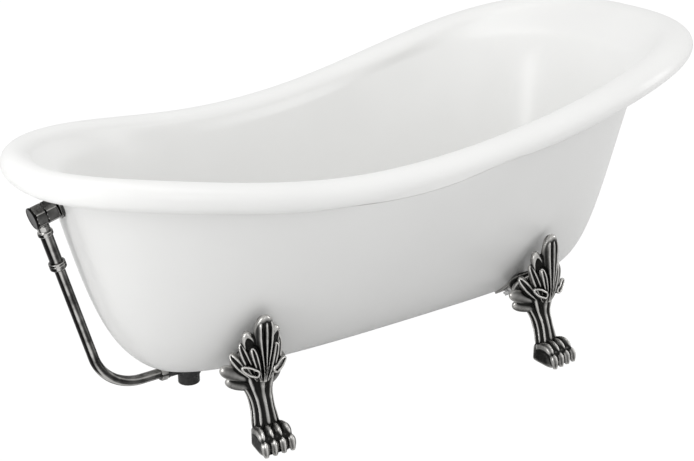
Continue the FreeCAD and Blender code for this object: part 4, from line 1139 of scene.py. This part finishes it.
def pad_strip(form, station, reach, a, bolt):
    """Strip of the casting along the tub's underside: the wall's own surface with a thickness."""
    across = np.linspace(-18, 18, 21)
    along = np.linspace(bolt - 24, bolt + 18, 30)
    lx, ly = np.meshgrid(across, along)
    x = station + math.cos(a) * lx - math.sin(a) * ly
    y = -reach + math.sin(a) * lx + math.cos(a) * ly
    heights = np.linspace(form.bottom + 0.5, 300, 900)
    sample = form.side_reach(np.broadcast_to(x[..., None], x.shape + (900,)), heights)
    z = heights[np.argmin(np.abs(sample + y[..., None]), axis=-1)]
    grid = np.stack([x, y, z], -1)
    normal = unit(np.cross(np.gradient(grid, axis=1), np.gradient(grid, axis=0)))
    normal = normal * np.where(normal[..., 2:] > 0, -1, 1)
    inner = grid + normal * 0.3
    outer = grid + normal * 6.0
    rows = np.concatenate([inner, outer[:, ::-1]], axis=1)
    return capped(rows)


# --- operators --------------------------------------------------------------------------------


WASTE_HOLE = 24.5
OVERFLOW_HOLE = 15


class BuildShells(bpy.types.Operator):
    """Inner basin with its rolled rim, and the outer skirt"""

    bl_idname = "tub.build_shells"
    bl_label = "Shells"

    def execute(self, context):
        tub = context.scene.tub_sizes
        form = Form(tub)
        point, outward, down = form.overflow()
        station = context.scene.plumbing_sizes.station / MM
        outline = [(0, 60), (WASTE_HOLE, 60), (WASTE_HOLE, 190), (0, 190)]
        waste = turned(outline, 0.1, 72)
        waste = waste.moved(np.eye(3), (-station, 0, 0))
        side = np.cross(outward, down)
        turn = np.stack([down, side, outward], 1)
        outline = [(0, -90), (OVERFLOW_HOLE, -90), (OVERFLOW_HOLE, 40), (0, 40)]
        over = turned(outline, 0.1, 72).moved(turn, point)
        basin = bored("InnerBasin", form.basin(tub.rings), [waste, over])
        show("InnerBasin", basin, material("basin"), ["inner_basin"], sharp=50)
        skirt = bored("OuterSkirt", form.skirt(tub.rings), [waste, over])
        show("OuterSkirt", skirt, material("skirt"), ["outer_skirt"], sharp=50)
        return {"FINISHED"}


# Each end's station, reach across, turn in degrees, place of the bolt, and the crest's lift and lean back.
FEET = {
    "drain": (-445.7, 304.6, -3.71, 178, 6, 0),
    "head": (313.4, 355.9, 4.95, 202, 21, 10),
}


class BuildFeet(bpy.types.Operator):
    """Four cast claw feet with acanthus leaves"""

    bl_idname = "tub.build_feet"
    bl_label = "Claw feet"

    def execute(self, context):
        form = Form(context.scene.tub_sizes)
        casting = cast_foot(context.scene.foot_sizes)
        for end, sizes in FEET.items():
            for side in ("near", "far"):
                name = f"ClawFoot_{end}_{side}"
                mesh = fitted_foot(name, casting, form, *sizes, far=side == "far")
                nodes = [f"foot_{end}_{side}"]
                show(name, mesh, material("pewter"), nodes, sharp=60)
        return {"FINISHED"}


# Painted reflection stripes on the plating: turn of the normal about Z, in degrees from SHEEN_BEARING, the
# bearing towards the camera, and the painted brightness there.
SHEEN_BEARING = -125.0
SHEEN_TABLE = (
    (-180, 0.3), (-140, 0.6), (-110, 0.1), (-86, 0.1), (-70, 0.7), (-60, 0.6), (-48, 0.1),
    (-30, 0.03), (-14, 0.0), (-2, 0.05), (8, 0.8), (18, 1.0), (28, 0.3), (40, 0.15),
    (60, 0.3), (80, 0.04), (110, 0.1), (135, 0.9), (150, 0.2), (180, 0.3),
)


def paint_sheen(mesh, sheen_share):
    """Stores a painted reflection per corner: stripes from the table, evened out to a painted lighter top and
    darker underside on faces that look up or down, and a painted highlight on slanted edges.
    """
    normals = np.empty(len(mesh.loops) * 3, np.float32)
    mesh.corner_normals.foreach_get("vector", normals)
    normals = normals.reshape(-1, 3)
    bearing = np.degrees(np.arctan2(normals[:, 1], normals[:, 0]))
    turn = (bearing - SHEEN_BEARING + 180.0) % 360.0 - 180.0
    places, painted_sheen = zip(*SHEEN_TABLE)
    # Painted reflection stripes, read from the table by the way each face turns about Z.
    bright = np.interp(turn, places, painted_sheen)
    # Painted light on faces that look up, painted shade on faces that look down.
    upward = smooth((np.abs(normals[:, 2]) - 0.45) / 0.4)
    # Painted highlight along slanted edges.
    edge = np.exp(-(((np.abs(normals[:, 2]) - 0.52) / 0.1) ** 2))
    bright = (bright * (1 - upward) + (0.2 + 0.18 * np.sign(normals[:, 2])) * upward + 0.7 * edge) * sheen_share
    store = mesh.attributes.new("painted_sheen", "FLOAT", "CORNER")
    store.data.foreach_set("value", bright.astype(np.float32))


class BuildOverflow(bpy.types.Operator):
    """Overflow head, nuts, sleeve and the pipe down to the waste"""

    bl_idname = "tub.build_overflow"
    bl_label = "Overflow"

    def execute(self, context):
        sizes = context.scene.plumbing_sizes
        form = Form(context.scene.tub_sizes)
        pipe = sizes.pipe / MM
        point, outward, down = form.overflow()
        side = np.cross(outward, down)
        head_turn = np.stack([down, side, outward], 1)
        neck = point + outward * 45
        neck_turn = np.stack([outward, np.cross(down, outward), down], 1)

        def on_head(surface):
            return surface.moved(head_turn, point)

        def on_neck(surface):
            return surface.moved(neck_turn, neck)

        nickel = material("nickel")

        # Every piece gets the painted reflection, scaled by sheen_share.
        def piece(name, surfaces, node, sharp=35, sheen_share=1.0):
            whole = joined(surfaces) if len(surfaces) > 1 else surfaces[0]
            mesh = mesh_from(name, whole)
            show(name, mesh, nickel, [node], sharp=sharp)
            paint_sheen(mesh, sheen_share)

        barrel = [
            (0, 2), (14, 2), (14, 3.9), (25, 3.9), (25, 6.6), (22, 7.4), (20, 9), (19.2, 10.5),
            (19.2, 34.5), (21, 35.4), (21, 56.5), (0, 56.5),
        ]
        neck_boss = [(0, 8), (11, 8), (11, 18.5), (12, 19.2), (12, 20.9), (0, 20.9)]
        piece(
            "OverflowHead",
            [
                on_head(turned(barrel, 0.5)),
                on_head(faceted(43, 10.5, 34.5, start=math.pi / 6)),
                on_head(faceted(43, 35.3, 56.5, start=math.pi / 6)),
                on_neck(turned(neck_boss)),
            ],
            "overflow_head",
        )
        rim = [(0, 56.5), (23, 56.5), (23, 60.1), (22, 60.9), (20.6, 60.9), (19.8, 60.2), (0, 60.2)]
        # The cap gets no painted highlight and stays at the near-black end of the painted reflection.
        piece("OverflowCap", [on_head(turned(rim, 0.35))], "overflow_cap", sheen_share=0.0)
        piece("OverflowNeckNut", [on_neck(faceted(24, 21, 33, 1.2))], "overflow_neck_nut")
        collar = [(9, 34.6), (14.6, 34.6), (15.8, 36.4), (15.8, 42.4), (14.8, 44), (9, 44)]
        piece("OverflowCollar", [on_neck(turned(collar, 0.6, closed=True))], "overflow_collar")
        sleeve = [(0, 33), (11, 33), (13, 35), (13, 112), (0, 112)]
        piece("OverflowSleeve", [on_neck(turned(sleeve, 0.5))], "overflow_sleeve")
        coupling = [
            (12, 107), (16.4, 107), (17.5, 108.4), (17.5, 112), (16.6, 113), (17.5, 114), (17.5, 121),
            (15.2, 123.6), (12, 124),
        ]
        lug = box_bar((-3.5, 14, 109), (3.5, 22.6, 119.6))
        piece(
            "OverflowCoupling",
            [on_neck(turned(coupling, 0.5, closed=True)), on_neck(lug)],
            "overflow_coupling",
        )
        path = self.pipe_path(neck, down, sizes)
        piece("OverflowPipe", [tube(path, pipe)], "overflow_pipe")
        station = sizes.station / MM
        inlet = sizes.inlet / MM
        turn = np.array([[0, 0, -1.0], [0, 1, 0], [1, 0, 0]])
        nut = faceted(31, 0, 17, 1.8).moved(turn, (-station - 55, 0, inlet))
        piece("OverflowPipeNut", [nut], "overflow_pipe_nut")
        return {"FINISHED"}

    @staticmethod
    def pipe_path(neck, down, sizes):
        """Straight down from the neck, round an arc of the bend's radius, then level to the waste."""
        bend = sizes.bend / MM
        inlet = sizes.inlet / MM
        turn = math.pi / 2 - math.asin(down[0])
        back = bend * math.tan(turn / 2)
        corner = neck + down * ((neck[2] - inlet) / -down[2])
        start = neck + down * 90
        first = corner - down * back
        last = corner + np.array([back, 0, 0])
        end = np.array([-sizes.station / MM - 40, 0, inlet])
        angle = np.linspace(-turn, 0, 60)
        arc = last + np.array([0, 0, bend]) + bend * np.stack([np.sin(angle), 0 * angle, -np.cos(angle)], -1)
        share = np.linspace(0, 1, 12)[:, None]
        upper = start + (first - start) * share
        level = last + (end - last) * share
        return np.concatenate([upper[:-1], arc, level[1:]])


class BuildWaste(bpy.types.Operator):
    """Waste body under the tub, and the finishes of the fittings inside it"""

    bl_idname = "tub.build_waste"
    bl_label = "Waste and fittings"

    def execute(self, context):
        sizes = context.scene.plumbing_sizes
        station = sizes.station / MM
        inlet = sizes.inlet / MM
        shell = [
            (22.4, 111.5), (35, 111.5), (35, 107.5), (33.5, 106), (28, 104), (27, 101), (27, 80),
            (25.4, 78), (24.6, 77), (24.6, 75.4), (23.9, 74.6), (23.9, 57.5), (23, 57), (20.9, 57),
            (20.9, 84), (22.4, 86),
        ]
        body = turned(shell, 0.4, closed=True).moved(np.eye(3), (-station, 0, 0))
        boss = [(0, 22), (14.3, 22), (14.3, 50), (15.4, 51), (15.4, 54.6), (0, 54.6)]
        turn = np.array([[0, 0, -1.0], [0, 1, 0], [1, 0, 0]])
        inlet_boss = turned(boss, 0.5).moved(turn, (-station, 0, inlet))
        mesh = mesh_from("WasteBody", joined([body, inlet_boss]))
        show("WasteBody", mesh, material("dark_metal"), ["waste_body"])
        kept = {
            "plywood": ["base_board"],
            "steel": [
                "foot_bolts", "foot_washers", "foot_plates",
                "glide_drain_near", "glide_drain_far", "glide_head_near", "glide_head_far",
            ],
            "chrome": ["overflow_grille", "overflow_screw", "waste_flange", "drain_stopper"],
            "rubber": ["overflow_seal", "grille_seal", "waste_flange_seal", "waste_gasket"],
        }
        for key, names in kept.items():
            for name in names:
                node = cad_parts[name]
                node.data.materials.clear()
                node.data.materials.append(material(key))
        return {"FINISHED"}


# Each lamp's place, what it is turned to, its two sides, and its power.
LAMPS = (
    ((-0.4, -0.2, 3.6), (0.0, 0.0, 0.4), (3.0, 1.6), 20),
    ((-3.2, -0.6, 1.4), (-0.7, 0.0, 0.5), (0.7, 2.4), 34),
    ((-0.9, -3.9, 2.2), (0.0, 0.0, 0.3), (0.6, 1.6), 5),
    ((2.9, -1.8, 1.4), (0.5, 0.0, 0.4), (0.6, 2.2), 18),
)
CAMERA_PLACE = (-1.7218, -2.3319, 1.4474)
CAMERA_TARGET = (-0.06289, 0.00003, 0.315)
LENS = 69.26
SENSOR = 36
FLOOR_HALF = 30
FLOOR_GLOW = 1.06
GLOW_SHARE = 0.96


class BuildStage(bpy.types.Operator):
    """Floor, lamps, even light and the camera"""

    bl_idname = "tub.build_stage"
    bl_label = "Stage"

    def execute(self, context):
        stage = context.scene.stage_sizes
        scene = context.scene
        self.floor(stage)
        self.sky(scene, stage)
        for index, (place, target, sides, power) in enumerate(LAMPS):
            data = bpy.data.lights.new(f"SoftLamp{index}", "AREA")
            data.shape = "RECTANGLE"
            data.size, data.size_y = sides
            data.energy = power * stage.lamp
            self.aim(bpy.data.objects.new(f"SoftLamp{index}", data), place, target)
        data = bpy.data.cameras.new("Camera")
        data.sensor_width = SENSOR
        data.lens = LENS
        data.dof.use_dof = False
        camera = self.aim(bpy.data.objects.new("Camera", data), CAMERA_PLACE, CAMERA_TARGET)
        scene.camera = camera
        scene.view_settings.view_transform = "Standard"
        return {"FINISHED"}

    @staticmethod
    def aim(thing, place, target):
        """Links a lamp or camera into the scene, at its place and turned to a target."""
        bpy.context.scene.collection.objects.link(thing)
        thing.location = place
        direction = Vector(target) - Vector(place)
        thing.rotation_euler = direction.to_track_quat("-Z", "Y").to_euler()
        return thing

    def sky(self, scene, stage):
        """Even light from all round; rays from the camera meet white instead."""
        world = bpy.data.worlds.new("EvenLight")
        scene.world = world
        world.use_nodes = True
        tree = world.node_tree
        tree.nodes.clear()
        path = tree.nodes.new("ShaderNodeLightPath")
        plain = tree.nodes.new("ShaderNodeBackground")
        plain.inputs["Strength"].default_value = stage.sky
        white = tree.nodes.new("ShaderNodeBackground")
        white.inputs["Strength"].default_value = 1.0
        white.inputs["Color"].default_value = (1, 1, 1, 1)
        plain.inputs["Color"].default_value = (1, 1, 1, 1)
        mix = tree.nodes.new("ShaderNodeMixShader")
        out = tree.nodes.new("ShaderNodeOutputWorld")
        tree.links.new(path.outputs["Is Camera Ray"], mix.inputs[0])
        tree.links.new(plain.outputs[0], mix.inputs[1])
        tree.links.new(white.outputs[0], mix.inputs[2])
        tree.links.new(mix.outputs[0], out.inputs["Surface"])

    def floor(self, stage):
        """Wide level plane; rays from the camera meet mostly white, with a share of its shaded colour."""
        mesh = bpy.data.meshes.new("Floor")
        half = FLOOR_HALF
        corners = [(-half, -half, 0), (half, -half, 0), (half, half, 0), (-half, half, 0)]
        mesh.from_pydata(corners, [], [(0, 1, 2, 3)])
        plane = bpy.data.objects.new("Floor", mesh)
        bpy.context.scene.collection.objects.link(plane)
        finish = Finish("PaleFloor")
        speck = finish.noise(40.0, 3.0)
        tone = finish.mix(speck, shade(stage.floor, 0.99), stage.floor)
        finish.set(Base_Color=tone, Roughness=0.9)
        tree = finish.tree
        path = tree.nodes.new("ShaderNodeLightPath")
        glow = tree.nodes.new("ShaderNodeEmission")
        glow.inputs["Color"].default_value = (1, 1, 1, 1)
        glow.inputs["Strength"].default_value = FLOOR_GLOW
        mix = tree.nodes.new("ShaderNodeMixShader")
        part = tree.nodes.new("ShaderNodeMath")
        part.operation = "MULTIPLY"
        part.inputs[1].default_value = GLOW_SHARE
        tree.links.new(path.outputs["Is Camera Ray"], part.inputs[0])
        tree.links.new(part.outputs[0], mix.inputs[0])
        tree.links.new(finish.shader.outputs[0], mix.inputs[1])
        tree.links.new(glow.outputs[0], mix.inputs[2])
        tree.links.new(mix.outputs[0], finish.output.inputs["Surface"])
        mesh.materials.append(finish.material)


class TubPanel(bpy.types.Panel):
    """Lists the builders"""

    bl_idname = "VIEW3D_PT_bathtub"
    bl_label = "Bathtub"
    bl_space_type = "VIEW_3D"
    bl_region_type = "UI"
    bl_category = "Bathtub"

    def draw(self, context):
        for operator in OPERATORS:
            self.layout.operator(operator.bl_idname)


OPERATORS = (BuildShells, BuildFeet, BuildOverflow, BuildWaste, BuildStage)
GROUPS = (
    ("tub_sizes", TubSizes),
    ("foot_sizes", FootSizes),
    ("plumbing_sizes", PlumbingSizes),
    ("stage_sizes", StageSizes),
)


def register():
    for name, group in GROUPS:
        bpy.utils.register_class(group)
        setattr(bpy.types.Scene, name, PointerProperty(type=group))
    for operator in OPERATORS:
        bpy.utils.register_class(operator)
    bpy.utils.register_class(TubPanel)


def unregister():
    bpy.utils.unregister_class(TubPanel)
    for operator in reversed(OPERATORS):
        bpy.utils.unregister_class(operator)
    for name, group in reversed(GROUPS):
        delattr(bpy.types.Scene, name)
        bpy.utils.unregister_class(group)


def main():
    register()
    bpy.ops.tub.build_shells()
    bpy.ops.tub.build_feet()
    bpy.ops.tub.build_overflow()
    bpy.ops.tub.build_waste()
    bpy.ops.tub.build_stage()
    bpy.context.view_layer.update()


if __name__ == "__main__":
    main()
